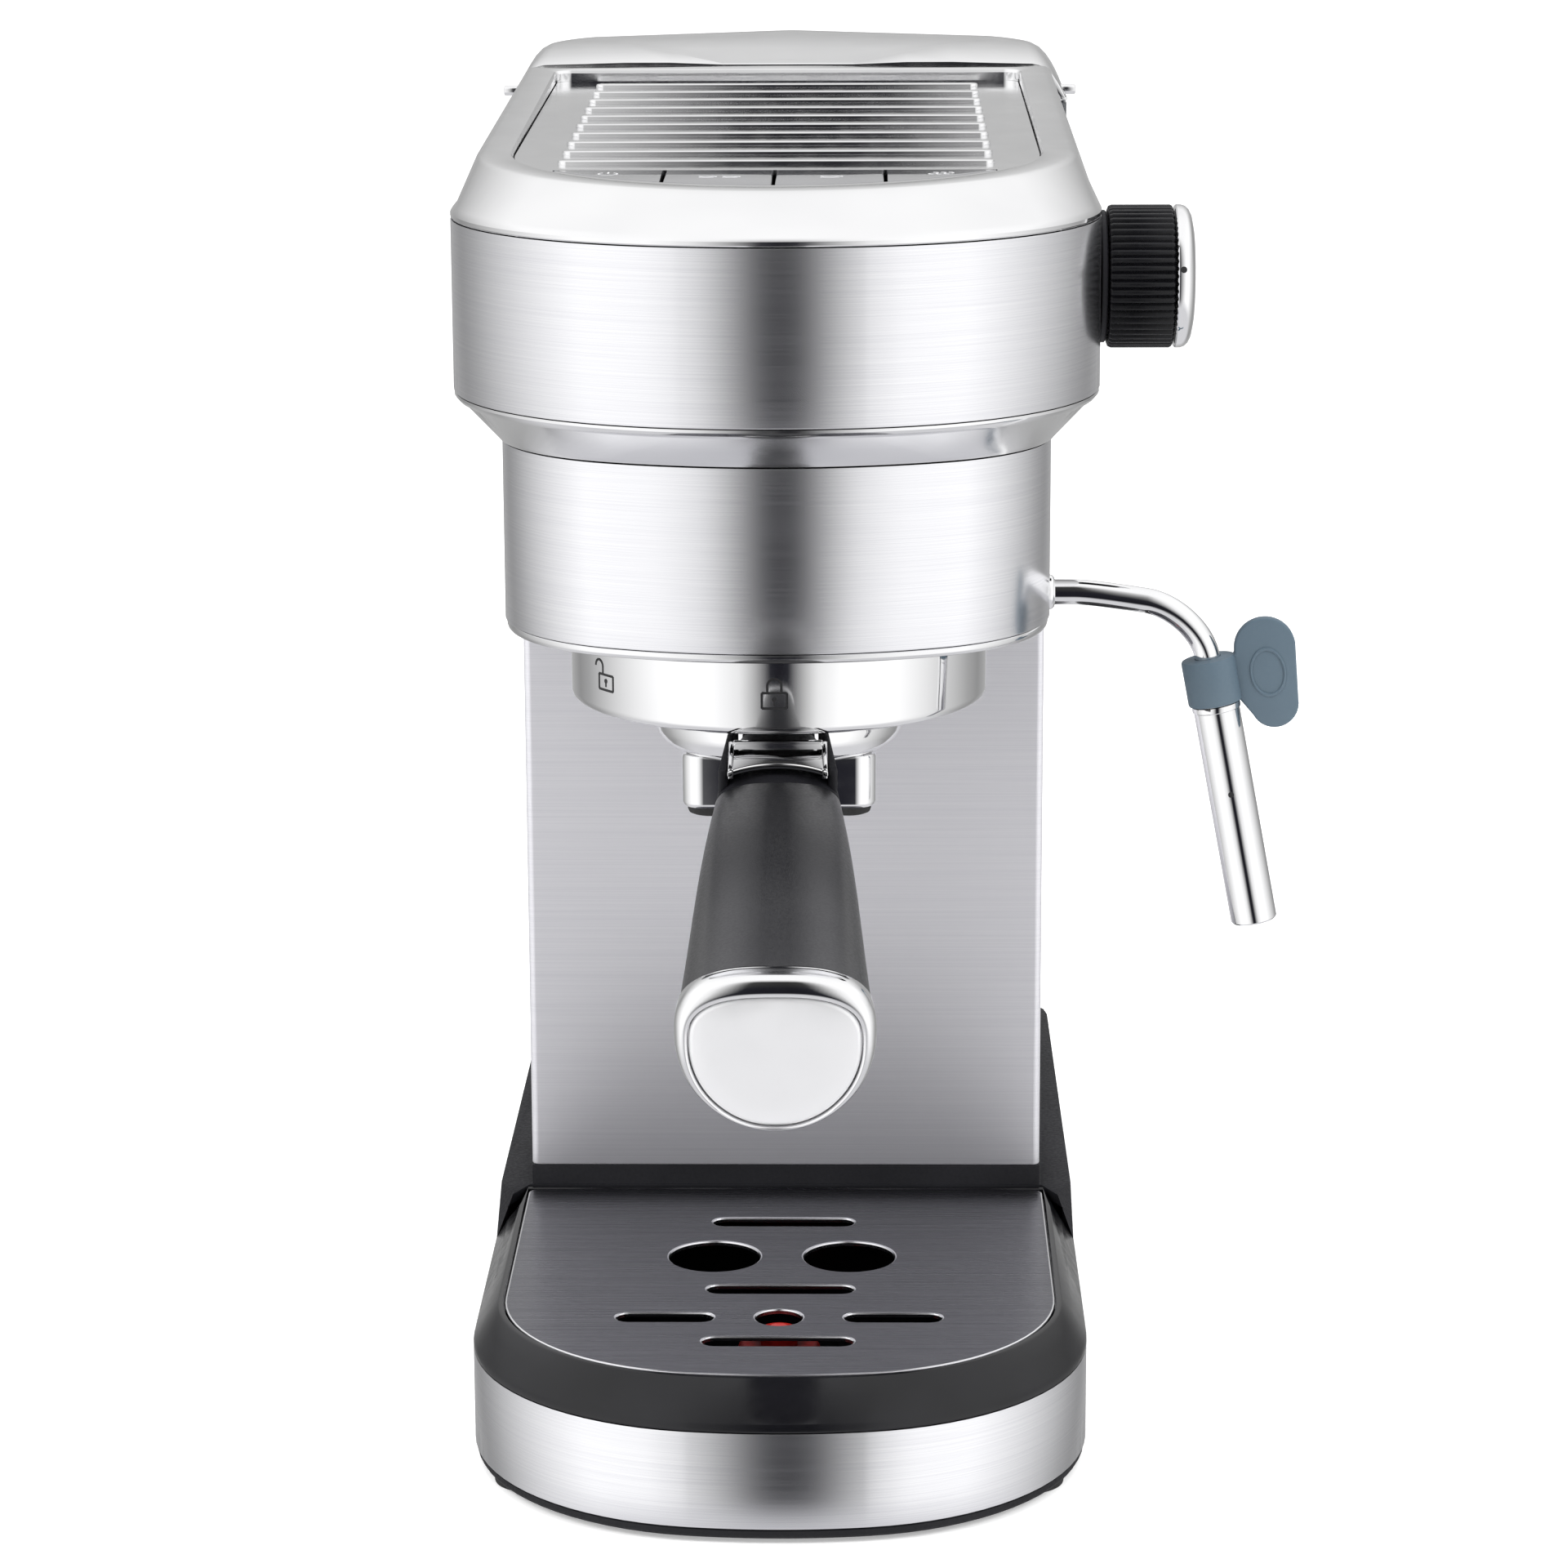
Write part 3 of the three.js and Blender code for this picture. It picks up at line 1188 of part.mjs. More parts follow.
const lidBottom = tankTop + seatGap;
function tankLid() {
  const crown = (p) => deckZ(p) + lidCrown * (1 - (p.x / bodyHalfWidth) ** 2)
    * Math.min(1, Math.max(0, (p.y - tankFront) / 30));
  const cornerY = bodyRear - rearCornerR;
  const topLoop = flangeLoop(0).map((p) => new THREE.Vector2(
    p.x * (1 - lidTopInset / bodyHalfWidth),
    p.y > cornerY ? p.y - (lidRearInset * (p.y - cornerY)) / rearCornerR : p.y,
  ));
  const body = loft([
    lift(flangeLoop(0), lidBottom), lift(flangeLoop(0), lidBottom + 1.2), lift(topLoop, crown),
  ]);
  const hollow = loft([
    lift(flangeLoop(plasticWall + 0.5), lidBottom - 1),
    lift(flangeLoop(plasticWall + lidTopInset), lidBottom + 6),
  ]);
  const lugs = [-1, 1].map((side) => {
    const x = side * (bodyHalfWidth + lugReach / 2 - 0.6);
    return block(x - lugReach / 2 - 0.6, x + lugReach / 2 + 0.6, outletY - 10 - lugHalfLength,
      outletY - 10 + lugHalfLength, lidBottom, lidBottom + lugThickness);
  });
  return join(cut(body, hollow), ...lugs);
}

add(machine, 'water_tank', waterTank(), smokedTank);
add(machine, 'tank_lid', tankLid(), brightChrome);
add(machine, 'tank_valve', tankValve(), rubber);

// ---------------------------------------------------------------- origin

// The origin is under the middle of the whole machine, on the worktop.
const group = new THREE.Group();
group.add(machine);
group.updateMatrixWorld(true);
const bounds = new THREE.Box3().setFromObject(group);
machine.position.set(-(bounds.min.x + bounds.max.x) / 2, -(bounds.min.y + bounds.max.y) / 2, -bounds.min.z);

export default group;
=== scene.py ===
import math

import bmesh
import bpy
from mathutils import Matrix, Vector
from mathutils.geometry import interpolate_bezier


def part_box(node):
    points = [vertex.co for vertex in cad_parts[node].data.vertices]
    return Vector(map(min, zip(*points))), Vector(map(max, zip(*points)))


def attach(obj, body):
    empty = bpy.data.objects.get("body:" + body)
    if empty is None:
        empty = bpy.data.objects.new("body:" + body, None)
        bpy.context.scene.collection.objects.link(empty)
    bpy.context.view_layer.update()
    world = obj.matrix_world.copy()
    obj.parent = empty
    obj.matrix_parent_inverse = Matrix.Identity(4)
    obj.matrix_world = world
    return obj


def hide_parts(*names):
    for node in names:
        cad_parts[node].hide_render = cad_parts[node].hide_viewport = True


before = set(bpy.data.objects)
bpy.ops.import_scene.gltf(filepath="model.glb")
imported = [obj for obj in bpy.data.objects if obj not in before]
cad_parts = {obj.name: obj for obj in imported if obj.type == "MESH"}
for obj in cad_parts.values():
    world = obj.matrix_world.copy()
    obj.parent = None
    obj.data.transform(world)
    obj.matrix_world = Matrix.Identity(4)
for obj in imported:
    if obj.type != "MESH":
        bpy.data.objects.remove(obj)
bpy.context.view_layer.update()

# ------------------------------------------------------------------ camera
# The machine's own measures are in millimetres: X from its middle, Y from the front edge of the drain
# plate and Z from the worktop. A long lens stands in front, a little above and to the right.
MM = 0.001
head_low, head_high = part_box("head_band")
machine_origin = Vector(((head_low.x + head_high.x) / 2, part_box("drain_plate")[0].y + 0.2 * MM, 0))


def point(x, y, z):
    return Vector((x, y, z)) * MM


eye = bpy.data.cameras.new("camera")
eye.lens = 104.95
eye.sensor_width = 36
eye.clip_end = 20
camera = bpy.data.objects.new("camera", eye)
camera.matrix_world = (
    Matrix.Translation(machine_origin + point(19.26, -964.6, 403.2))
    @ Matrix.Rotation(math.radians(1.01), 4, "Z")
    @ Matrix.Rotation(math.radians(76.58), 4, "X")
    @ Matrix.Rotation(math.radians(-0.24), 4, "Z")
)
bpy.context.scene.collection.objects.link(camera)
bpy.context.scene.camera = camera
bpy.context.scene.view_settings.view_transform = "Standard"

# ------------------------------------------------------------------ floor
# A pale seamless sweep. It isn't seen in reflections, so that the metal shows only the softboxes.
sweep = bmesh.new()
bmesh.ops.create_grid(sweep, x_segments=1, y_segments=1, size=12)
floor_mesh = bpy.data.meshes.new("floor")
sweep.to_mesh(floor_mesh)
sweep.free()
floor = bpy.data.objects.new("floor", floor_mesh)
bpy.context.scene.collection.objects.link(floor)
floor.visible_glossy = False
floor_paint = bpy.data.materials.new("floor_paint")
floor_paint.use_nodes = True
floor_shader = floor_paint.node_tree.nodes["Principled BSDF"]
floor_shader.inputs["Base Color"].default_value = (0.9, 0.9, 0.9, 1)
floor_shader.inputs["Roughness"].default_value = 0.9
floor_shader.inputs["Specular IOR Level"].default_value = 0.1
floor_shader.inputs["Emission Color"].default_value = (1, 1, 1, 1)
floor_shader.inputs["Emission Strength"].default_value = 0.35
floor_mesh.materials.append(floor_paint)

# ------------------------------------------------------------------ studio
# White softboxes all round with a narrow dark gap behind the camera, dimmer to the rear. The gap
# gives the curved steel its dark stripe. The backdrop itself is white.


def add_node(tree, kind, **settings):
    node = tree.nodes.new(kind)
    for key, value in settings.items():
        setattr(node, key, value)
    return node


def add_math(tree, operation, *values):
    node = add_node(tree, "ShaderNodeMath", operation=operation)
    for socket, value in zip(node.inputs, values):
        if isinstance(value, (int, float)):
            socket.default_value = value
        else:
            tree.links.new(value, socket)
    return node.outputs[0]


def add_ramp(tree, factor, stops):
    node = tree.nodes.new("ShaderNodeValToRGB")
    points = node.color_ramp.elements
    while len(points) < len(stops):
        points.new(0.5)
    for knot, (place, shade) in zip(points, stops):
        knot.position = place
        knot.color = (*shade, 1) if isinstance(shade, tuple) else (shade, shade, shade, 1)
    tree.links.new(factor, node.inputs["Fac"])
    return node.outputs["Color"]


studio = bpy.data.worlds.new("studio")
bpy.context.scene.world = studio
studio.use_nodes = True
sky = studio.node_tree
sky.nodes.clear()
split = sky.nodes.new("ShaderNodeSeparateXYZ")
sky.links.new(sky.nodes.new("ShaderNodeTexCoord").outputs["Generated"], split.inputs[0])
forward = add_math(sky, "MULTIPLY", split.outputs["Y"], -1)
side = add_math(sky, "SUBTRACT", split.outputs["X"], add_math(sky, "MULTIPLY", forward, 0.02))
turn = add_math(sky, "ARCTAN2", side, forward)
around = add_math(sky, "DIVIDE", add_math(sky, "ABSOLUTE", turn), math.pi)
stripe = add_ramp(sky, around, [
    (0.0, (0.012, 0.012, 0.016)), (0.028, (0.02, 0.02, 0.026)), (0.075, 0.5), (0.12, 0.92), (0.2, 1.15),
    (0.36, 1.2), (0.5, 0.9), (0.62, 0.62), (0.72, 0.4), (0.8, 0.3), (0.9, 0.42), (1.0, 0.5),
])
above = add_ramp(sky, around, [
    (0.0, 0.03), (0.035, 0.05), (0.09, 0.6), (0.15, 1.0), (0.25, 1.15), (0.6, 1.15), (1.0, 1.0),
])
rise = sky.nodes.new("ShaderNodeMapRange")
rise.inputs["From Min"].default_value = 0.12
rise.inputs["From Max"].default_value = 0.6
sky.links.new(split.outputs["Z"], rise.inputs["Value"])
upper = add_node(sky, "ShaderNodeMix", data_type="RGBA")
sky.links.new(rise.outputs[0], upper.inputs[0])
sky.links.new(stripe, upper.inputs[6])
sky.links.new(above, upper.inputs[7])
zenith = sky.nodes.new("ShaderNodeMapRange")
zenith.inputs["From Min"].default_value = 0.8
zenith.inputs["From Max"].default_value = 0.96
sky.links.new(split.outputs["Z"], zenith.inputs["Value"])
ceiling = add_node(sky, "ShaderNodeMix", data_type="RGBA")
ceiling.inputs[7].default_value = (1.1, 1.1, 1.1, 1)
sky.links.new(zenith.outputs[0], ceiling.inputs[0])
sky.links.new(upper.outputs[2], ceiling.inputs[6])
fall = sky.nodes.new("ShaderNodeMapRange")
fall.inputs["From Min"].default_value = -0.52
fall.inputs["From Max"].default_value = -0.72
sky.links.new(split.outputs["Z"], fall.inputs["Value"])
whole = add_node(sky, "ShaderNodeMix", data_type="RGBA")
whole.inputs[7].default_value = (0.7, 0.7, 0.72, 1)
sky.links.new(fall.outputs[0], whole.inputs[0])
sky.links.new(ceiling.outputs[2], whole.inputs[6])
glow = sky.nodes.new("ShaderNodeBackground")
sky.links.new(whole.outputs[2], glow.inputs["Color"])
plain = sky.nodes.new("ShaderNodeBackground")
plain.inputs["Color"].default_value = (1, 1, 1, 1)
pick = sky.nodes.new("ShaderNodeMixShader")
sky.links.new(sky.nodes.new("ShaderNodeLightPath").outputs["Is Camera Ray"], pick.inputs[0])
sky.links.new(glow.outputs[0], pick.inputs[1])
sky.links.new(plain.outputs[0], pick.inputs[2])
sky.links.new(pick.outputs[0], sky.nodes.new("ShaderNodeOutputWorld").inputs["Surface"])


def softbox(name, place, size, power):
    light = bpy.data.lights.new(name, "AREA")
    light.shape = "RECTANGLE"
    light.size, light.size_y = size
    light.energy = power
    lamp = bpy.data.objects.new(name, light)
    lamp.location = place
    lamp.rotation_euler = (Vector((0, 0, 0.15)) - Vector(place)).to_track_quat("-Z", "Y").to_euler()
    lamp.visible_glossy = False
    bpy.context.scene.collection.objects.link(lamp)


softbox("softbox_left", (-0.95, -0.75, 1.15), (0.5, 0.9), 9)
softbox("softbox_right", (1.0, -0.7, 1.1), (0.5, 0.9), 9)
softbox("softbox_top", (0.0, 0.35, 1.7), (1.4, 1.0), 12)

# ------------------------------------------------------------------ base plate and feet
# The moulded black floor of the machine, screwed on from below, and four round rubber feet that are
# pushed into its recesses.


def draw(mesh, moves, height=0.0, mirrored=True):
    """Draws a flat line from its first point through corners (x, y) and arcs (centre x, centre y,
    degrees, steps), mirrors it about the middle and lifts it to a height."""
    old = set(mesh.edges)
    tip = bmesh.ops.create_vert(mesh, co=point(*moves[0], 0))["vert"][0]
    for move in moves[1:]:
        if len(move) == 2:
            tip = bmesh.ops.extrude_vert_indiv(mesh, verts=[tip])["verts"][0]
            tip.co = point(*move, 0)
        else:
            x, y, degrees, steps = move
            swung = bmesh.ops.spin(
                mesh, geom=[tip], cent=point(x, y, 0), axis=(0, 0, 1), angle=math.radians(degrees),
                steps=steps,
            )
            tip = next(v for v in swung["geom_last"] if isinstance(v, bmesh.types.BMVert))
    drawn = [edge for edge in mesh.edges if edge not in old]
    if mirrored:
        corners = list({v for edge in drawn for v in edge.verts})
        bmesh.ops.mirror(mesh, geom=corners + drawn, axis="X", merge_dist=1e-6)
        drawn = [edge for edge in mesh.edges if edge not in old]
    for v in {v for edge in drawn for v in edge.verts}:
        v.co.z = height(v.co / MM) * MM if callable(height) else height * MM
    return drawn


def bow(half, front, front_r, corner_r, *tail):
    """A front that bulges on a wide arc and turns into each side on a tighter one."""
    reach = math.sqrt((front_r - corner_r) ** 2 - (half - corner_r) ** 2)
    swing = math.degrees(math.atan2(half - corner_r, reach))
    return [
        (0, front), (0, front + front_r, swing, 14),
        (half - corner_r, front + front_r - reach, 90 - swing, 18), *tail,
    ]


def edges_of(corners):
    return list({edge for v in corners for edge in v.link_edges})


def close_holes(mesh):
    bmesh.ops.holes_fill(mesh, edges=[edge for edge in mesh.edges if edge.is_boundary], sides=0)


def skin(mesh, loops, ends="cap", spread=(0, 0, 0.1)):
    """Joins a stack of loops and closes both ends, or joins the last loop back to the first. The loops
    are spread apart while they are joined, so that loops in one plane are joined the right way round."""
    stacks = [list({v for edge in loop for v in edge.verts}) for loop in loops]
    for level, corners in enumerate(stacks):
        bmesh.ops.translate(mesh, verts=corners, vec=Vector(spread) * level)
    for lower, upper in zip(loops, loops[1:]):
        bmesh.ops.bridge_loops(mesh, edges=lower + upper)
    if ends == "cap":
        for loop in (loops[0], loops[-1]):
            bmesh.ops.contextual_create(mesh, geom=loop)
    if ends == "round":
        bmesh.ops.bridge_loops(mesh, edges=loops[-1] + loops[0])
        close_holes(mesh)
    for level, corners in enumerate(stacks):
        bmesh.ops.translate(mesh, verts=corners, vec=Vector(spread) * -level)


def soften(mesh, width, segments=2, angle=30):
    """Rounds every edge that is sharper than an angle."""
    edges = [e for e in mesh.edges if len(e.link_faces) == 2 and e.calc_face_angle(0) > math.radians(angle)]
    bmesh.ops.bevel(
        mesh, geom=edges, offset=width * MM, offset_type="OFFSET", segments=segments, profile=0.5,
        affect="EDGES", material=-1, clamp_overlap=True,
    )


def make_piece(mesh, name, paint, body, nodes=(), place=None, sharp=34, set_down=True):
    """Turns a mesh into a finished piece that rides its body and stands for its design nodes."""
    if place:
        bmesh.ops.transform(mesh, matrix=place, verts=mesh.verts)
    if set_down:
        bmesh.ops.translate(mesh, vec=machine_origin, verts=mesh.verts)
    bmesh.ops.recalc_face_normals(mesh, faces=mesh.faces)
    for face in mesh.faces:
        face.smooth = True
    for edge in mesh.edges:
        edge.smooth = len(edge.link_faces) == 2 and edge.calc_face_angle(0) < math.radians(sharp)
    data = bpy.data.meshes.new(name)
    mesh.to_mesh(data)
    mesh.free()
    data.materials.append(paint)
    piece = bpy.data.objects.new(name, data)
    bpy.context.scene.collection.objects.link(piece)
    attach(piece, body)
    if nodes:
        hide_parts(*nodes)
    return piece


def new_paint(name, metallic=0.0, coat=0.0):
    paint = bpy.data.materials.new(name)
    paint.use_nodes = True
    shader = paint.node_tree.nodes["Principled BSDF"]
    shader.inputs["Metallic"].default_value = metallic
    shader.inputs["Coat Weight"].default_value = coat
    shader.inputs["Coat Roughness"].default_value = 0.08
    return paint, paint.node_tree, shader


def grain(tree, stretch, detail=3.0):
    place = tree.nodes.new("ShaderNodeMapping")
    place.inputs["Scale"].default_value = stretch
    tree.links.new(tree.nodes.new("ShaderNodeTexCoord").outputs["Object"], place.inputs["Vector"])
    noise = tree.nodes.new("ShaderNodeTexNoise")
    noise.inputs["Scale"].default_value = 1
    noise.inputs["Detail"].default_value = detail
    tree.links.new(place.outputs[0], noise.inputs["Vector"])
    return noise.outputs["Fac"]


def relief(tree, shader, height, depth):
    bump = tree.nodes.new("ShaderNodeBump")
    bump.inputs["Distance"].default_value = depth * MM
    bump.inputs["Strength"].default_value = 1
    tree.links.new(height, bump.inputs["Height"])
    tree.links.new(bump.outputs[0], shader.inputs["Normal"])


def moulded(name, dark, light, rough_low, rough_high, cell, depth, coat=0.0, specular=0.5):
    """Moulded plastic or rubber: a fine grain, and a slow drift in shade and gloss."""
    paint, tree, shader = new_paint(name, coat=coat)
    shader.inputs["Specular IOR Level"].default_value = specular
    drift = grain(tree, (40, 40, 40))
    tree.links.new(add_ramp(tree, drift, [(0.3, dark), (0.7, light)]), shader.inputs["Base Color"])
    fine = grain(tree, (1000 / cell,) * 3, 2)
    tree.links.new(add_ramp(tree, fine, [(0.3, rough_low), (0.7, rough_high)]), shader.inputs["Roughness"])
    relief(tree, shader, fine, depth)
    return paint


matte_black = moulded(
    "matte_black", (0.008, 0.008, 0.01), (0.014, 0.014, 0.017), 0.5, 0.68, 0.9, 0.05, specular=0.25,
)
foot_rubber = moulded("foot_rubber", (0.014, 0.014, 0.014), (0.024, 0.024, 0.024), 0.75, 0.9, 0.7, 0.04)

base_plate = bmesh.new()
skin(base_plate, [
    draw(base_plate, bow(
        72 - by, -9.6 + by, 140 - by, 60 - by, (72 - by, 288), (56, 288, 90, 10), (0, 304 - by),
    ), z) for by, z in ((1.9, 1.0), (0.9, 1.5), (0.5, 2.2), (0.5, 3.3), (0.9, 3.6))
])
make_piece(base_plate, "base_floor", matte_black, "machine", ["base_plate"])


def add_rod(mesh, segments, radius, length, place):
    """A solid round rod with flat ends, its middle at the place and its length along the place's Z."""
    bmesh.ops.create_cone(
        mesh, cap_ends=True, segments=segments, radius1=radius * MM, radius2=radius * MM, depth=length * MM,
        matrix=place,
    )


for node in ("foot_front_left", "foot_rear_left", "foot_front_right", "foot_rear_right"):
    low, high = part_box(node)
    foot = bmesh.new()
    size = (high - low) / MM
    add_rod(foot, 48, size.x / 2, size.z, Matrix.Translation((low + high) / 2))
    rim = [face for face in foot.faces if abs(face.normal.z) > 0.9 and face.calc_center_median().z < 0.001]
    bmesh.ops.inset_region(foot, faces=rim, thickness=2.2 * MM, depth=0)
    bmesh.ops.inset_region(foot, faces=rim, thickness=0.5 * MM, depth=-0.5 * MM)
    soften(foot, 0.25, angle=60)
    make_piece(foot, node + "_pad", foot_rubber, "machine", [node], set_down=False)

# ------------------------------------------------------------------ drip tray
# A glossy black moulded tray with a sloping bezel, and a strip of brushed stainless steel wrapped
# round its front. The whole tray slides out towards the user.


def brushed(name, stretch, dark, light, rough_low, rough_high, depth, metallic=1.0):
    """Stainless steel with fine brush lines that run along the low values of the stretch."""
    paint, tree, shader = new_paint(name, metallic=metallic)
    coarse = tuple(0.35 * s for s in stretch)
    lines = add_math(tree, "ADD", add_math(tree, "MULTIPLY", grain(tree, stretch, 3), 0.8),
                     add_math(tree, "MULTIPLY", grain(tree, coarse, 2), 0.2))
    tree.links.new(add_ramp(tree, lines, [(0.36, dark), (0.64, light)]), shader.inputs["Base Color"])
    tree.links.new(add_ramp(tree, lines, [(0.34, rough_high), (0.66, rough_low)]), shader.inputs["Roughness"])
    relief(tree, shader, lines, depth)
    return paint


band_steel = brushed(
    "band_steel", (22, 22, 5200), (0.81, 0.81, 0.84), (0.88, 0.88, 0.9), 0.19, 0.23, 0.0016,
)
gloss_black = moulded(
    "gloss_black", (0.004, 0.004, 0.005), (0.008, 0.008, 0.01), 0.09, 0.17, 3, 0.006, specular=0.4,
)

tray = bmesh.new()
outer = [(1.3, 3.9), (1.3, 26.4), (0.1, 26.8), (0, 27.1), (0, 28.2), (0.35, 28.8)]
loops = [draw(tray, bow(
    72 - by, -9.6 + by, 140 - by, 60 - by, (72 - by, 118 - by / 2), (64.5, 133.5 - by), (0, 133.5 - by),
), z) for by, z in outer]
for out, rear, z in (
    (4.4, 133.0, 33.4), (1.8, 132.3, 36.7), (1.35, 132.0, 37.0), (0.55, 131.6, 37.0), (0.3, 131.3, 36.7),
    (0.3, 131.3, 35.5), (-2.3, 128.7, 35.5), (-2.3, 128.7, 33.0),
):
    loops.append(draw(tray, bow(
        64.5 + out, -0.2 - out, 140 + out, 50 + out, (64.5 + out, 118), (min(64.5 + out, 64.8), rear),
        (0, rear),
    ), z))
for half, z in ((66, 26), (65, 8), (63, 6.4)):
    loops.append(draw(tray, bow(half, -72 + half, 134, 54, (half, 112), (60.5, 127), (0, 127)), z))
skin(tray, loops)
make_piece(tray, "tray_moulding", gloss_black, "tray", ["tray_body"])


def inset_bow(plan, by, *tail):
    half, front, front_r, corner_r = plan
    return bow(half - by, front + by, front_r - by, corner_r - by, *tail)


def wrapped_strip(mesh, plan, rear, bottom, top, thickness):
    """Sheet bent round a bowed front, with small round edges, open at the rear."""
    soft = 0.25
    section = [
        (0, bottom + soft), (0, top - soft), (soft * 0.4, top), (thickness, top), (thickness, bottom),
        (soft * 0.4, bottom),
    ]
    skin(mesh, [draw(mesh, inset_bow(plan, by, (plan[0] - by, rear)), z) for by, z in section], "round")


strip = bmesh.new()
wrapped_strip(strip, (72, -9.6, 140, 60), 117, 3.9, 26.5, 1)
make_piece(strip, "tray_steel_strip", band_steel, "tray", ["tray_band"])

# ------------------------------------------------------------------ drain plate and float
# A flat stainless plate punched with two drain holes, five slots and a hole in the middle for the
# red plastic float, whose stem rises through it when the tray is full. Its top is a far darker copy
# of the steel, painted shade, while the rounded rims of its holes and slots keep the bright steel.


def thicken(mesh, depth):
    """Gives a flat face a thickness downwards."""
    block = bmesh.ops.extrude_face_region(mesh, geom=list(mesh.faces))["geom"]
    lowered = [v for v in block if isinstance(v, bmesh.types.BMVert)]
    bmesh.ops.translate(mesh, vec=point(0, 0, -depth), verts=lowered)


def slot_moves(x0, x1, y, width):
    r = width / 2
    return [(x0 + r, y - r), (x1 - r, y - r), (x1 - r, y, 180, 8), (x0 + r, y + r), (x0 + r, y, 180, 8)]


def close_line(mesh, edges):
    corners = list({v for edge in edges for v in edge.verts})
    bmesh.ops.remove_doubles(mesh, verts=corners, dist=1e-6)
    return edges_of(v for v in corners if v.is_valid)


# A far darker copy of the stainless steel: painted shade on the plate's top.
painted_shade_plate_steel = brushed(
    "painted_shade_plate_steel", (22, 3800, 3800), (0.15, 0.15, 0.17), (0.2, 0.2, 0.22), 0.24, 0.32, 0.003,
)
plate = bmesh.new()
draw(plate, bow(64.5, -0.2, 140, 50, (64.5, 128), (61.5, 128, 90, 6), (0, 131)), 37)
for x in (-16.2, 16.2):
    bmesh.ops.create_circle(plate, segments=56, radius=11 * MM, matrix=Matrix.Translation(point(x, 80, 37)))
bmesh.ops.create_circle(plate, segments=40, radius=5.5 * MM, matrix=Matrix.Translation(point(0, 37.5, 37)))
for x0, x1, y in (
    (-16.8, 16.8, 105.4), (-16.8, 16.8, 56.8), (-16.8, 16.8, 21.7), (-37.3, -15.7, 37.5), (15.7, 37.3, 37.5),
):
    slot_line = draw(plate, slot_moves(x0 - 0.6, x1 + 0.6, y, 6.2), 37, mirrored=False)
    close_line(plate, slot_line)
bmesh.ops.triangle_fill(plate, edges=list(plate.edges), use_beauty=True)
thicken(plate, 1.2)
bmesh.ops.recalc_face_normals(plate, faces=plate.faces)
rims = [
    edge for edge in plate.edges
    if len(edge.link_faces) == 2 and edge.calc_face_angle(0) > 1.2 and edge.verts[0].co.z > 36.9 * MM
    and edge.verts[1].co.z > 36.9 * MM
]
rounded = bmesh.ops.bevel(
    plate, geom=rims, offset=0.45 * MM, offset_type="OFFSET", segments=2, profile=0.5, affect="EDGES",
    material=-1,
)
# The rounded rims take the bright band steel; the rest of the top keeps the painted shade.
for face in rounded["faces"]:
    face.material_index = 1
drain_piece = make_piece(
    plate, "drain_plate_steel", painted_shade_plate_steel, "plate", ["drain_plate"], sharp=18,
)
drain_piece.data.materials.append(band_steel)

float_red = moulded("float_red", (0.42, 0.012, 0.008), (0.56, 0.02, 0.012), 0.3, 0.42, 1.5, 0.01)
low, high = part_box("tray_float")
float_piece = bmesh.new()
bmesh.ops.create_cube(float_piece, size=1, matrix=Matrix.Translation((
    (low.x + high.x) / 2, (low.y + high.y) / 2, (low.z + high.z - 5.3 * MM) / 2,
)) @ Matrix.Diagonal((high.x - low.x, high.y - low.y, high.z - low.z - 5.3 * MM, 1)))
soften(float_piece, 1.6, 3)
add_rod(float_piece, 40, 4.4, 6.4, Matrix.Translation(machine_origin + point(0, 37.5, 34.2 - 3.2)))
add_rod(float_piece, 32, 2, 2.4, Matrix.Translation(machine_origin + point(0, 35.2, 35.8 - 1.2)))
soften(float_piece, 0.35, 2, 60)
make_piece(float_piece, "tray_float_red", float_red, "float", ["tray_float"], set_down=False)

# ------------------------------------------------------------------ rear base and cord inlet
# The black moulded rear half of the base: a low plinth under the column, a pocket for the water tank
# and a seam that slants out to the sides where the tray ends. The inlet at the back is soft rubber.


def softened(node, width, segments=2, angle=30):
    mesh = bmesh.new()
    mesh.from_mesh(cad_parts[node].data)
    bmesh.ops.remove_doubles(mesh, verts=mesh.verts, dist=1e-6)
    bmesh.ops.dissolve_limit(mesh, angle_limit=math.radians(1), verts=mesh.verts, edges=mesh.edges)
    soften(mesh, width, segments, angle)
    return mesh


def cut_away(mesh, spot, outward):
    """Cuts off all that lies beyond a plane."""
    whole_mesh = list(mesh.verts) + list(mesh.edges) + list(mesh.faces)
    bmesh.ops.bisect_plane(mesh, geom=whole_mesh, plane_co=spot, plane_no=outward, clear_outer=True)


rear_base = softened("rear_base", 0.6)
for hand in (-1, 1):
    cut_away(rear_base, machine_origin + point(72.4 * hand, 118, 27), (10 * hand, -3.4, 7))
    close_holes(rear_base)
make_piece(
    rear_base, "rear_base_moulding", matte_black, "machine", ["rear_base"], set_down=False,
)
make_piece(
    softened("cord_inlet", 0.4), "cord_inlet_bush", foot_rubber, "machine", ["cord_inlet"],
    set_down=False,
)

# ------------------------------------------------------------------ column
# A brushed steel panel bent round a black core and open at the rear. The core shows as a dark line
# above the panel.
column_steel = brushed(
    "column_steel", (18, 18, 5200), (0.78, 0.775, 0.815), (0.84, 0.835, 0.87), 0.45, 0.5, 0.0012, 0.74,
)


def column_moves(by):
    return [(0, 135 + by), (62.2, 135 + by), (62.2, 136.8, 90, 8), (64 - by, 240.8)]


column = bmesh.new()
skin(column, [draw(column, column_moves(by), z) for by, z in (
    (0, 42.4), (0, 196), (0.15, 196.3), (1, 196.3), (1, 42.1), (0.15, 42.1),
)], "round")
make_piece(column, "column_steel_panel", column_steel, "machine", ["column_panel"])

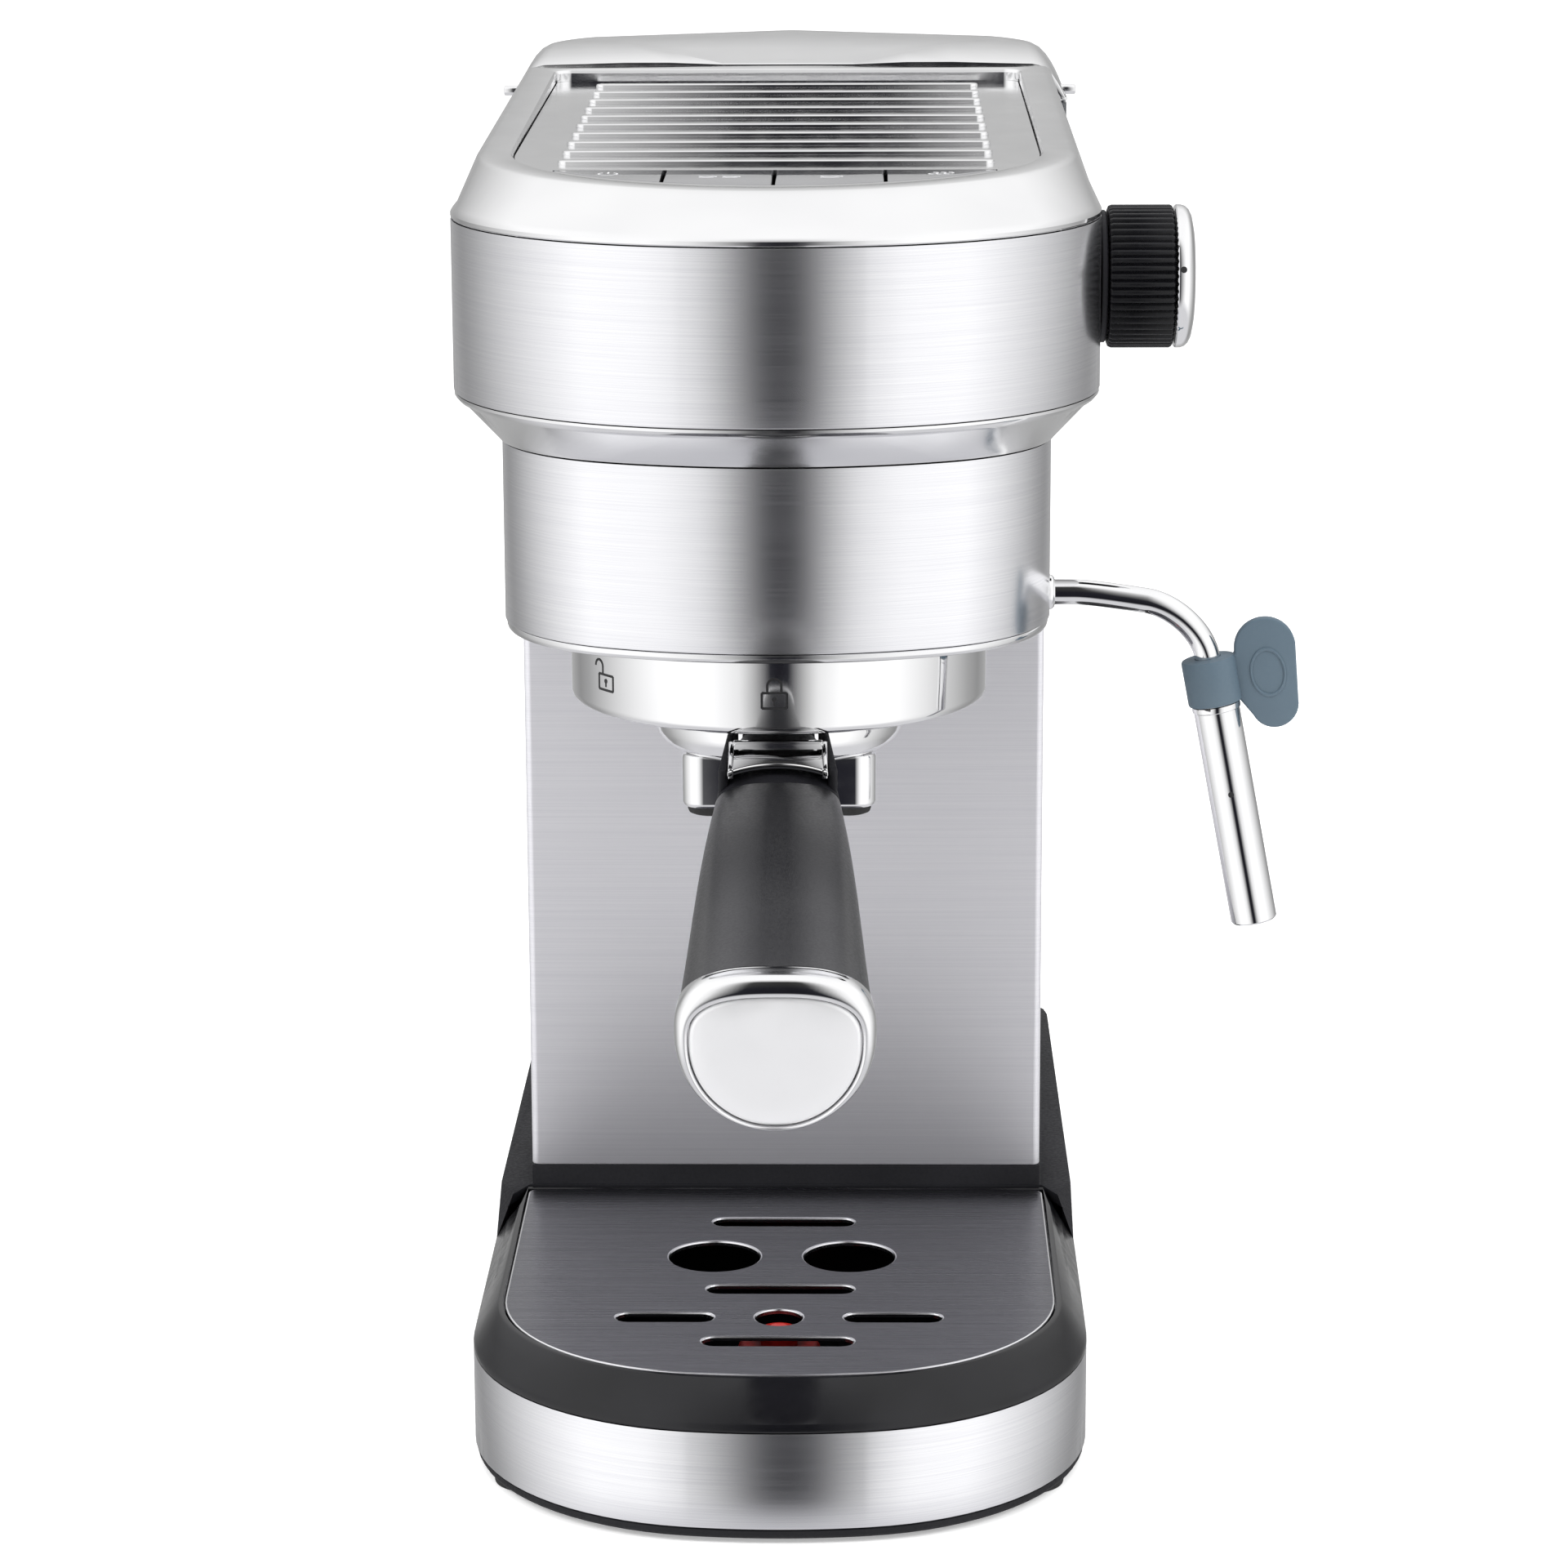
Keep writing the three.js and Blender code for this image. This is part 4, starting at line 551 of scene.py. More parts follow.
# ------------------------------------------------------------------ neck, head and transition
# Two bowed strips of brushed steel, a silver plated cone between them and a thin plated trim under
# the neck. Thin dark gaps show between them.
NECK = (62, 12.5, 92, 42)
HEAD = (73, -3, 105, 65)
HOUSING_REAR = 241.1


def plated(name, dark, light, rough_low, rough_high, metallic=1.0):
    """Silver plating on plastic: almost a mirror, with faint flow marks under the plating."""
    paint, tree, shader = new_paint(name, metallic=metallic)
    drift = grain(tree, (25, 25, 25), 2)
    tree.links.new(add_ramp(tree, drift, [(0.3, dark), (0.7, light)]), shader.inputs["Base Color"])
    haze = grain(tree, (160, 160, 160), 3)
    tree.links.new(add_ramp(tree, haze, [(0.35, rough_low), (0.7, rough_high)]), shader.inputs["Roughness"])
    relief(tree, shader, grain(tree, (70, 70, 70), 2), 0.02)
    return paint


silver = plated("silver_plating", (0.83, 0.83, 0.84), (0.9, 0.9, 0.905), 0.09, 0.17)

neck = bmesh.new()
wrapped_strip(neck, NECK, HOUSING_REAR, 199, 240, 1)
make_piece(neck, "neck_steel_band", band_steel, "machine", ["neck_band"])
head = bmesh.new()
wrapped_strip(head, HEAD, HOUSING_REAR, 251.1, 289.5, 1.2)
make_piece(head, "head_steel_band", band_steel, "machine", ["head_band"])

cone = bmesh.new()
skin(cone, [draw(cone, inset_bow(plan, by, (plan[0] - by, HOUSING_REAR)), z) for plan, by, z in (
    (NECK, 0, 240.3), (NECK, -0.6, 240.5), (NECK, -1.5, 241.5), (HEAD, 2.2, 248.6), (HEAD, 0.9, 249.3),
    (HEAD, 0.15, 250.2), (HEAD, 0.3, 250.8), (HEAD, 3, 250.8), (HEAD, 4.5, 249), (NECK, 1, 243),
    (NECK, 1, 240.3),
)], "round")
make_piece(cone, "transition_ring", silver, "machine", ["transition_cone"], sharp=26)

trim = bmesh.new()
skin(trim, [draw(trim, inset_bow(NECK, by, (62 - by, 134.4)), z) for by, z in (
    (0.55, 197.3), (0.4, 197.8), (0.4, 198.4), (0.6, 198.7), (1.4, 198.7), (1.4, 196.9), (0.9, 196.9),
)], "round")
make_piece(trim, "neck_trim_strip", silver, "machine", ["neck_trim"])

# Under the neck a black floor closes the housing round the group.
under = bmesh.new()
floor_line = inset_bow(NECK, 1.6, (60.4, 134.2), (0, 134.2))
draw(under, floor_line, 197.9)
bmesh.ops.create_circle(under, segments=120, radius=48.9 * MM, matrix=Matrix.Translation(point(0, 75, 197.9)))
bmesh.ops.triangle_fill(under, edges=list(under.edges), use_beauty=True)
thicken(under, 1.2)
make_piece(under, "neck_under_floor", matte_black, "machine", ["neck_floor"])

# ------------------------------------------------------------------ top frame
# One silver plated moulding: a broad bevel that rises from the head to a rounded rim, and a recess
# in the sloping top for the cup warmer and the keys.
RIM = (67, 14, 90, 65)
DECK_SLOPE = 0.0385


def deck_z(spot):
    return 299.8 + DECK_SLOPE * (spot.y - 14)


def top_moves(plan, by, rear, corner):
    half = plan[0] - by
    return inset_bow(plan, by, (half, rear - corner), (half - corner, rear - corner, 90, 8), (0, rear))


RECESS = (60, 22, 83, 58)
top = bmesh.new()
loops = []
for plan, by, rear, corner, height in (
    (HEAD, 5.2, 238.6, 1.0, 290.6), (HEAD, 0.2, 241.1, 1.0, 289.8), (HEAD, 0.0, 241.1, 1.0, 290.1),
    (HEAD, 0.0, 241.1, 1.0, 290.9), (HEAD, 0.45, 241.1, 1.0, 291.6), (HEAD, 1.2, 241.1, 1.0, 292.3),
    (RIM, -1.3, 241.1, 1.2, -0.95), (RIM, -0.4, 241.0, 1.5, -0.3), (RIM, 0.8, 240.6, 2.0, 0.0),
    (RECESS, -1.3, 234.3, 4.8, 0.0), (RECESS, -0.5, 233.5, 4.4, -0.2), (RECESS, 0.0, 233, 4, -0.9),
    (RECESS, 0.0, 233, 4, -4.5), (RECESS, 2, 231, 3, -4.5), (RECESS, 2, 231, 3, -9),
):
    lifted = height if height > 100 else (lambda spot, drop=height: deck_z(spot) + drop)
    loops.append(draw(top, top_moves(plan, by, rear, corner), lifted))
skin(top, loops, "round")
make_piece(top, "top_frame_moulding", silver, "machine", ["top_frame"], sharp=30)

# ------------------------------------------------------------------ cup warmer
# A bright plated tray in the sloping top, with ten low ribs for the cups and a window for the keys. It
# rises a little to the front. The duller satin plating is kept for the end of the handle.
FRONT_RAISED = 0.0115
on_deck = (
    Matrix.Translation(point(0, 233, 299.8 + DECK_SLOPE * (233 - 14)))
    @ Matrix.Rotation(math.atan(DECK_SLOPE - FRONT_RAISED), 4, "X") @ Matrix.Translation(point(0, -233, 0))
)
satin = plated("satin_plating", (0.82, 0.82, 0.83), (0.88, 0.88, 0.89), 0.3, 0.4, 0.6)
bright_satin = plated("bright_satin", (0.84, 0.84, 0.85), (0.9, 0.9, 0.905), 0.1, 0.16)


def arc_key_moves(grow):
    """Outline of the four keys together: a front arc and a straight rear edge."""
    radius = 60.379 + grow
    swing = math.degrees(math.acos((87.879 - 51.4 + grow) / radius))
    return [
        (0, 27.5 - grow), (0, 87.879, swing, 28), (49 + grow, 51.4 - grow), (49 + grow, 52.6 + grow),
        (0, 52.6 + grow),
    ]


warmer = bmesh.new()
draw(warmer, top_moves(RECESS, 0.3, 232.7, 3.7), -3)
draw(warmer, arc_key_moves(0.3), -3)
bmesh.ops.triangle_fill(warmer, edges=list(warmer.edges), use_beauty=True)
thicken(warmer, 1.2)
for row in range(10):
    y = 64 + 17.2 * row
    skin(warmer, [
        close_line(warmer, draw(warmer, slot_moves(-49 + by, 49 - by, y, 4 - 2 * by), z, mirrored=False))
        for by, z in ((0, -3.3), (0, -2.5), (0.12, -2.25), (0.5, -2.1), (1.2, -2.05))
    ])
make_piece(warmer, "cup_warmer_plate", bright_satin, "machine", ["cup_warmer"], on_deck)

# ------------------------------------------------------------------ keys
# Four dark keys under a glassy face. Power, two cups, one cup and steam are printed on them as plain
# pale pictograms. The keys share one arched outline with narrow gaps between them.
key_glass = moulded("key_glass", (0.1, 0.102, 0.108), (0.13, 0.132, 0.14), 0.08, 0.16, 4, 0.005, coat=0.8)
pale_ink = moulded("pale_ink", (0.5, 0.5, 0.51), (0.6, 0.6, 0.61), 0.5, 0.62, 1.2, 0.004)
QUARTER_TURN_X = Matrix.Rotation(math.radians(90), 4, "X")


def bar(mesh, x, y, width, length, degrees=0.0, rise=0.08):
    bmesh.ops.create_cube(mesh, size=1, matrix=(
        Matrix.Translation(point(x, y, 0)) @ Matrix.Rotation(math.radians(degrees), 4, "Z")
        @ Matrix.Diagonal((width * MM, length * MM, rise * MM, 1))
    ))


def curved_bar(mesh, x, y, radius, start, sweep, width, steps=20, rise=0.08):
    """A bar of square section that follows an arc about (x, y)."""
    end = bmesh.ops.create_grid(mesh, x_segments=1, y_segments=1, size=0.5, matrix=(
        Matrix.Translation(point(x, y, 0)) @ Matrix.Rotation(math.radians(start), 4, "Z")
        @ Matrix.Translation(point(radius, 0, 0)) @ QUARTER_TURN_X
        @ Matrix.Diagonal((width * MM, rise * MM, 1, 1))
    ))["verts"]
    shape = end + edges_of(end) + list({face for v in end for face in v.link_faces})
    bmesh.ops.spin(
        mesh, geom=shape, cent=point(x, y, 0), axis=(0, 0, 1), angle=math.radians(sweep), steps=steps,
        use_merge=abs(sweep) == 360,
    )


def draw_power(mesh, x, y):
    curved_bar(mesh, x, y, 2.1, 125, 290, 0.42)
    bar(mesh, x, y + 1.7, 0.42, 2.4)


def draw_cup(mesh, x, y, size):
    curved_bar(mesh, x, y, size, 180, 180, 0.4)
    bar(mesh, x, y, 2 * size + 0.4, 0.4)
    curved_bar(mesh, x + size, y - 0.35 * size, 0.45 * size, -80, 160, 0.34, 12)
    bar(mesh, x, y - 1.35 * size, 2.2 * size, 0.36)


def draw_two_cups(mesh, x, y):
    draw_cup(mesh, x - 2.6, y, 1.5)
    draw_cup(mesh, x + 2.6, y, 1.5)


def draw_one_cup(mesh, x, y):
    draw_cup(mesh, x, y, 1.9)


def draw_steam(mesh, x, y):
    for shift in (-1.7, 0, 1.7):
        curved_bar(mesh, x + shift, y + 1.0, 1.0, -90, 180, 0.4, 12)
        curved_bar(mesh, x + shift, y - 1.0, 1.0, 90, 180, 0.4, 12)


for node, body, left, pictogram, y in (
    ("key_power", "power_key", -49, draw_power, 46.4),
    ("key_two_cups", "two_cups_key", -24.5, draw_two_cups, 42),
    ("key_one_cup", "one_cup_key", 0, draw_one_cup, 42), ("key_steam", "steam_key", 24.5, draw_steam, 46.4),
):
    key = bmesh.new()
    outline = draw(key, arc_key_moves(0), -3)
    bmesh.ops.contextual_create(key, geom=outline)
    for edge_x, away in ((left + 0.4 * (left > -49), -1), (left + 24.5 - 0.4 * (left < 24.5), 1)):
        cut_away(key, point(edge_x, 0, 0), (away, 0, 0))
    thicken(key, 5)
    bmesh.ops.recalc_face_normals(key, faces=key.faces)
    soften(key, 0.35, 3, 50)
    make_piece(key, node + "_face", key_glass, body, [node], on_deck)
    ink = bmesh.new()
    pictogram(ink, left + 12.25, y)
    on_key = on_deck @ Matrix.Translation(point(0, 0, -2.98))
    make_piece(ink, node + "_mark", pale_ink, body, place=on_key)

# ------------------------------------------------------------------ water tank and lid
# A smoked clear tank stands in a pocket at the back and flares to the full width of the head. Its
# silver plated lid lies flush behind the head and has a lug at each side to lift it by.
smoked, smoked_tree, smoked_shader = new_paint("smoked_tank")
tint = [(0.3, (0.2, 0.21, 0.225)), (0.7, (0.26, 0.27, 0.285))]
smoked_tree.links.new(
    add_ramp(smoked_tree, grain(smoked_tree, (12, 12, 12), 2), tint), smoked_shader.inputs["Base Color"],
)
smoked_tree.links.new(
    add_ramp(smoked_tree, grain(smoked_tree, (300, 300, 300), 2), [(0.3, 0.06), (0.7, 0.14)]),
    smoked_shader.inputs["Roughness"],
)
relief(smoked_tree, smoked_shader, grain(smoked_tree, (90, 90, 25), 2), 0.03)
smoked_shader.inputs["Transmission Weight"].default_value = 0.75
smoked_shader.inputs["IOR"].default_value = 1.3


def tank_moves(half, rear, by, rear_corner=16):
    corner = max(3 - by, 0.8)
    half -= by
    rear -= by
    rear_corner -= by
    return [
        (0, 242.6 + by), (half - corner, 242.6 + by), (half - corner, 242.6 + by + corner, 90, 5),
        (half, rear - rear_corner), (half - rear_corner, rear - rear_corner, 90, 12), (0, rear),
    ]


tank = bmesh.new()
skin(tank, [draw(tank, tank_moves(half, rear, by), z) for half, rear, by, z in (
    (67, 303, 1.2, 31.6), (67, 303, 0.3, 32.1), (67, 303, 0, 33), (67, 303, 0, 284.6), (67.4, 303.1, 0, 286),
    (72.4, 304.9, 0, 289.8), (73, 305, 0, 291), (73, 305, 0, 298.4), (73, 305, 0.5, 298.8),
    (73, 305, 2.2, 298.8), (73, 305, 2.2, 291), (67, 303, 2.2, 285.5), (67, 303, 2.2, 34.5),
    (67, 303, 3.2, 33.8),
)])
make_piece(tank, "tank_shell", smoked, "tank", ["water_tank"])


def lid_moves(by):
    corner = max(16 - 0.6 * by, 4)
    half, rear = 73 - by, 305 - by
    return [(0, 225), (half, 225), (half, rear - corner), (half - corner, rear - corner, 90, 14), (0, rear)]


def crowned(by):
    """Height of the lid's top at a distance in from its edge: a crown that falls off in a wide round."""
    def height(spot):
        crown = 3.2 * (1 - (spot.x / 73) ** 2) * min(1, max(0, (spot.y - 242.6) / 30))
        return deck_z(spot) + crown - 9.5 * (1 - min(by / 9, 1)) ** 2.2
    return height


QUARTER_TURN_Y = Matrix.Rotation(math.radians(90), 4, "Y")
lid = bmesh.new()
lid_loops = [draw(lid, lid_moves(by), z) for by, z in (
    (3, 300.6), (3, 299.1), (0.3, 299.1), (0, 299.4), (0, 299.9),
)]
lid_loops += [draw(lid, lid_moves(by), crowned(by)) for by in (
    0.4, 1.2, 2.3, 3.8, 5.6, 7.4, 9.2, 13, 20, 30, 42, 56,
)]
skin(lid, lid_loops)
cut_away(lid, point(0, 242.6, 0), (0, -1, 0))
close_holes(lid)
for x in (-73.7, 73.7):
    add_rod(lid, 32, 1.3, 4.6, Matrix.Translation(point(x, 262, 300.5)) @ QUARTER_TURN_Y)
soften(lid, 0.3, 2, 60)
make_piece(lid, "tank_lid_cover", silver, "lid", ["tank_lid"])

# ------------------------------------------------------------------ group ring
# The polished collar that the portafilter turns into. Two printed padlocks show where the handle is
# put in and where it is locked.
chrome = plated("chrome_plating", (0.86, 0.86, 0.87), (0.92, 0.92, 0.925), 0.04, 0.09)
# Black print for the padlocks and the knob's dot, also used as painted shade in the sleeve's air hole.
black_ink_and_painted_shade = moulded("black_ink_and_painted_shade", (0.01, 0.01, 0.011), (0.018, 0.018, 0.02), 0.45, 0.6, 1.2, 0.004)
GROUP_Y = 75
RING_R = 48.3


def turn_profile(mesh, profile, steps=96, middle=(0, 0), closed=True, start=0.0, sweep=360.0):
    """Turns a profile of (radius, height) about an upright axis."""
    cent = point(*middle, 0)
    old = set(mesh.verts)
    tip = bmesh.ops.create_vert(mesh, co=point(profile[0][0], 0, profile[0][1]))["vert"][0]
    made = [tip]
    for radius, z in profile[1:] + (profile[:1] if closed else []):
        tip = bmesh.ops.extrude_vert_indiv(mesh, verts=[tip])["verts"][0]
        tip.co = point(radius, 0, z)
        made.append(tip)
    bmesh.ops.rotate(mesh, verts=made, cent=(0, 0, 0), matrix=Matrix.Rotation(math.radians(start), 3, "Z"))
    bmesh.ops.translate(mesh, verts=made, vec=cent)
    wire = made + edges_of(made)
    bmesh.ops.spin(
        mesh, geom=wire, cent=cent, axis=(0, 0, 1), angle=math.radians(sweep), steps=steps,
        use_merge=sweep == 360,
    )
    bmesh.ops.remove_doubles(mesh, verts=[v for v in mesh.verts if v not in old], dist=1e-6)
    if sweep != 360:
        close_holes(mesh)


ring = bmesh.new()
turn_profile(ring, [
    (45.6, 177.5), (46.9, 177.6), (47.7, 178.0), (48.15, 178.7), (48.3, 179.7), (48.3, 197.7), (48.0, 198),
    (41, 198), (41, 177.7), (41.3, 177.5),
], 160, (0, GROUP_Y))
for start in (63, 183, 303):
    turn_profile(ring, [
        (41.2, 181.6), (37.6, 181.6), (37.5, 181.4), (37.5, 179.4), (37.9, 179.0), (41.2, 179.0),
    ], 28, (0, GROUP_Y), True, start, 94)
make_piece(ring, "group_collar", chrome, "machine", ["group_ring"])


def wrap_on_ring(mesh, degrees, z):
    """Bends a flat drawing round the ring, at an angle from the front and at a height."""
    for v in mesh.verts:
        angle = v.co.x / (RING_R * MM) + math.radians(degrees)
        radius = RING_R * MM + v.co.z
        v.co = Vector((radius * math.sin(angle), GROUP_Y * MM - radius * math.cos(angle), z * MM + v.co.y))


STROKE, INK = 0.42, 0.12
for name, degrees, shift in (("unlocked_mark", -53.2, -2.1), ("locked_mark", -0.2, 0)):
    padlock = bmesh.new()
    for turned in (-1, 1):
        bar(padlock, 0, 1.35 * turned, 4.3, STROKE, rise=INK)
        bar(padlock, 2.15 * turned, 0, STROKE, 2.7, rise=INK)
        for lifted in (-1, 1):
            start = 45 * lifted + 90 * (turned < 0) * lifted - 45
            curved_bar(padlock, 1.85 * turned, 1.05 * lifted, 0.3, start, 90, STROKE, 6, INK)
    curved_bar(padlock, shift, 2.6, 1.2, 0, 180, STROKE, rise=INK)
    for turned in (-1, 1):
        if shift == 0 or turned == 1:
            bar(padlock, shift + 1.2 * turned, 2.05, STROKE, 1.1, rise=INK)
    add_rod(padlock, 24, 0.42, INK, Matrix.Translation(point(0, 0.25, 0)))
    bar(padlock, 0, -0.35, 0.34, 0.9, rise=INK)
    bmesh.ops.subdivide_edges(
        padlock, cuts=6,
        edges=[edge for edge in padlock.edges if abs(edge.verts[0].co.x - edge.verts[1].co.x) > 2 * MM],
    )
    bmesh.ops.scale(padlock, vec=(1.3, 1.3, 1), verts=padlock.verts)
    wrap_on_ring(padlock, degrees, 185.6)
    make_piece(padlock, name, black_ink_and_painted_shade, "machine")

# ------------------------------------------------------------------ portafilter
# A chrome plated brass bowl with three lugs, and a chrome spout block with two black rubber tips
# below it. The locked portafilter points a little to the right.
PORTAFILTER_TURN = math.radians(0.68)
portafilter_place = (
    Matrix.Translation(point(75 * math.sin(PORTAFILTER_TURN), 75 * (1 - math.cos(PORTAFILTER_TURN)), 0))
    @ Matrix.Rotation(PORTAFILTER_TURN, 4, "Z")
)
bowl = bmesh.new()
turn_profile(bowl, [
    (0, 165.2), (22, 165.2), (24.4, 165.5), (26.4, 166.5), (27.8, 168), (28.7, 170), (29, 172.2), (29, 179.4),
    (29.6, 180.3), (34.9, 181.9), (36.2, 182.3), (36.6, 182.8), (36.6, 186.6), (36.3, 186.9), (26.6, 186.9),
    (26.6, 168.3), (0, 168.3),
], 120, (0, GROUP_Y), closed=False)
for start in (81, 201, 321):
    turn_profile(bowl, [
        (34.6, 181.9), (40.2, 181.9), (40.5, 182.2), (40.5, 184.8), (40.2, 185.1), (34.6, 185.1),
    ], 10, (0, GROUP_Y), True, start, 18)
make_piece(bowl, "portafilter_bowl", chrome, "portafilter", ["portafilter_body"], portafilter_place)

spout = bmesh.new()
skin(spout, [draw(spout, [
    (0, 61 + by), (17.5, 61 + by), (17.5, 66, 90, 10), (22.5 - by, 84), (17.5, 84, 90, 10), (0, 89 - by),
], z) for by, z in (
    (1.2, 152.4), (0.5, 152.6), (0.1, 153.1), (0, 153.7), (0, 164.2), (0.3, 164.8), (1.0, 165.1),
)])
make_piece(spout, "spout_block", chrome, "portafilter", ["portafilter_spout"], portafilter_place)
for node, x in (("spout_tip_left", -16), ("spout_tip_right", 16)):
    tip_ring = bmesh.new()
    turn_profile(tip_ring, [
        (3.4, 149.0), (4.4, 149.0), (5.1, 149.3), (5.4, 150), (5.4, 152.3), (3.2, 152.3), (3.2, 149.2),
    ], 48, (x, GROUP_Y - 2))
    make_piece(tip_ring, node + "_bush", foot_rubber, "portafilter", [node], portafilter_place)

# ------------------------------------------------------------------ portafilter handle
# Soft touch plastic over a black neck, with a chrome plated ring and a satin plate at its end. Its
# section is a soft shield: widest above the middle and narrower underneath.
handle_place = (
    portafilter_place @ Matrix.Translation(point(0, 46, 168)) @ Matrix.Rotation(math.radians(12.4), 4, "X")
)
soft_touch = moulded(
    "soft_touch", (0.006, 0.006, 0.008), (0.012, 0.012, 0.014), 0.3, 0.42, 0.6, 0.012, specular=0.9,
)
NECK_FROM, NECK_TO = -1.4, 29
GRIP_FROM, GRIP_TO = 29.3, 129.8
START = (14, 8.6, 9.5, 1.4)
END = (19.6, 15.8, 17.8, 3.6)


def shield(mesh, along, size, by=0.0, seam=0.0, drop=0.0, count=112):
    """One section of the handle: half width, rise, drop, and how high its widest place is."""
    half, up, down, widest = size
    loop = bmesh.ops.create_circle(mesh, segments=count, radius=1)["verts"]
    for v in loop:
        c, s = v.co.x, v.co.y
        power = 0.72 if s > 0 else 0.9
        reach = (up - widest if s > 0 else down + widest) - by
        taper = 1 if s > 0 else 1 - 0.1 * s * s
        groove = seam * (s > 0.9999)
        v.co = point(
            (half - by) * taper * math.copysign(abs(c) ** power, c), -along,
            widest + math.copysign(reach * abs(s) ** power, s) - groove - drop,
        )
    return edges_of(loop)


def between(t):
    return tuple(a + (b - a) * t for a, b in zip(START, END))


handle_neck = bmesh.new()
skin(handle_neck, [shield(handle_neck, along, size) for along, size in (
    (NECK_FROM, (9.5, 7, 7, 0)), (7, (11, 7, 8, 0)), (14, (12.2, 7.1, 8.6, 0.6)), (23, (13.4, 7.2, 9.5, 1)),
    (NECK_TO, (14, 7.2, 9.5, 1)),
)], spread=(0, -0.1, 0))
for x in (-12.3, 12.3):
    cheek = bmesh.ops.create_cube(handle_neck, size=1, matrix=(
        Matrix.Translation(point(x, -14, 6.2)) @ Matrix.Diagonal((1.9 * MM, 25 * MM, 7.6 * MM, 1))
    ))["verts"]
    for v in cheek:
        if v.co.y > -10 * MM:
            v.co.x -= math.copysign(2.4, x) * MM
soften(handle_neck, 0.7, 3, 70)
make_piece(
    handle_neck, "handle_neck_moulding", matte_black, "portafilter", ["handle_neck"],
    handle_place,
)

grip = bmesh.new()
stations = [(GRIP_FROM, 0, 1.0), (GRIP_FROM + 0.4, 0, 0.35), (GRIP_FROM + 1.4, 0, 0)]
for step in range(1, 13):
    t = step / 12
    swell = 0.16 * math.sin(math.pi * t) * (1 - t)
    stations.append((GRIP_FROM + 1.4 + (GRIP_TO - GRIP_FROM - 1.9) * t, t + swell, 0))
stations += [(GRIP_TO, 1, 0.5)]
skin(grip, [shield(grip, along, between(t), by, 0.16) for along, t, by in stations], spread=(0, -0.1, 0))
make_piece(grip, "handle_soft_grip", soft_touch, "portafilter", ["handle_grip"], handle_place)

END_LIP = tuple(a + b for a, b in zip(END, (0.7, 0.7, 0.7, 0)))
end_ring = bmesh.new()
skin(end_ring, [shield(end_ring, along, END_LIP, by, drop=drop) for along, by, drop in (
    (130.1, 0.9, 0), (130.4, 0.35, 0), (131.1, 0, 0), (134.6, 0, 0), (135.8, 0.3, 0), (136.7, 0.9, 0.3),
    (137.2, 1.6, 0.7), (137.3, 2.1, 1), (137.15, 2.5, 1.2), (136.7, 2.7, 1.3), (135.1, 2.8, 1.3),
)], spread=(0, -0.1, 0))
make_piece(
    end_ring, "handle_chrome_ring", chrome, "portafilter", ["handle_end_ring"],
    handle_place, sharp=50,
)
end_plate = bmesh.new()
skin(end_plate, [shield(end_plate, along, END_LIP, by, drop=1.3) for along, by in (
    (135.3, 3.0), (136.5, 3.0), (136.8, 3.25), (136.95, 3.9), (137.05, 7), (137.1, 11),
)], spread=(0, -0.1, 0))
make_piece(
    end_plate, "handle_satin_plate", satin, "portafilter", ["handle_end_plate"], handle_place,
    sharp=50,
)

clip = bmesh.new()
outline = draw(clip, [
    (0, -24.2), (0, -40.2, -40.4, 14), (11.1, -28.4), (11.1, -14.6), (9.9, -14.6, 90, 5), (0, -13.4),
], 10.3)
bmesh.ops.contextual_create(clip, geom=outline)
thicken(clip, 1.4)
for x in (-10.4, 10.4):
    bmesh.ops.create_cube(clip, size=1, matrix=(
        Matrix.Translation(point(x, -20.6, 9.4)) @ Matrix.Diagonal((1.2 * MM, 14.4 * MM, 2.6 * MM, 1))
    ))
bmesh.ops.create_cube(clip, size=1, matrix=(
    Matrix.Translation(point(0, -14.2, 10.3)) @ Matrix.Diagonal((20 * MM, 1.4 * MM, 1.6 * MM, 1))
))
bmesh.ops.recalc_face_normals(clip, faces=clip.faces)
soften(clip, 0.3, 3, 50)
make_piece(clip, "basket_clip_plate", chrome, "clip", ["basket_clip"], handle_place)

# ------------------------------------------------------------------ steam knob
# A black ribbed knob on the right of the head, with a domed chrome cap that has a small dot on its
# edge, and a thin black collar behind it.
knob_place = Matrix.Translation(point(0, 75, 273.9)) @ QUARTER_TURN_Y
knob_black = moulded(
    "knob_black", (0.003, 0.003, 0.004), (0.007, 0.007, 0.009), 0.24, 0.36, 1, 0.012, specular=0.28,
)

collar = bmesh.new()
turn_profile(collar, [(4, 73.3), (14.8, 73.3), (15, 73.5), (15, 74.3), (14.7, 74.6), (4, 74.6)], 96)
make_piece(collar, "knob_back_collar", matte_black, "machine", ["knob_collar"], knob_place)


def add_ring(mesh, segments, radius, z):
    return bmesh.ops.create_circle(
        mesh, segments=segments, radius=radius * MM, matrix=Matrix.Translation(point(0, 0, z)),
    )["verts"]


RIBS, RIB_DEPTH = 54, 0.7
knob = bmesh.new()
rings = []
for radius, x in (
    (3.3, 84.7), (3.3, 75.4), (3.8, 74.9), (15.1, 74.9), (15.9, 75.2), (16.2, 75.9), (16.2, 89.1),
    (15.9, 89.6), (15.3, 89.9),
):
    circle = add_ring(knob, 432, radius, x)
    for v in circle:
        if radius > 15:
            around_knob = math.atan2(v.co.y, v.co.x)
            groove = RIB_DEPTH * (0.5 + 0.5 * math.cos(RIBS * around_knob)) ** 2
            v.co.xy *= 1 - groove / radius
    rings.append(edges_of(circle))
skin(knob, rings)
make_piece(knob, "steam_knob_ribbed", knob_black, "knob", ["steam_knob"], knob_place)

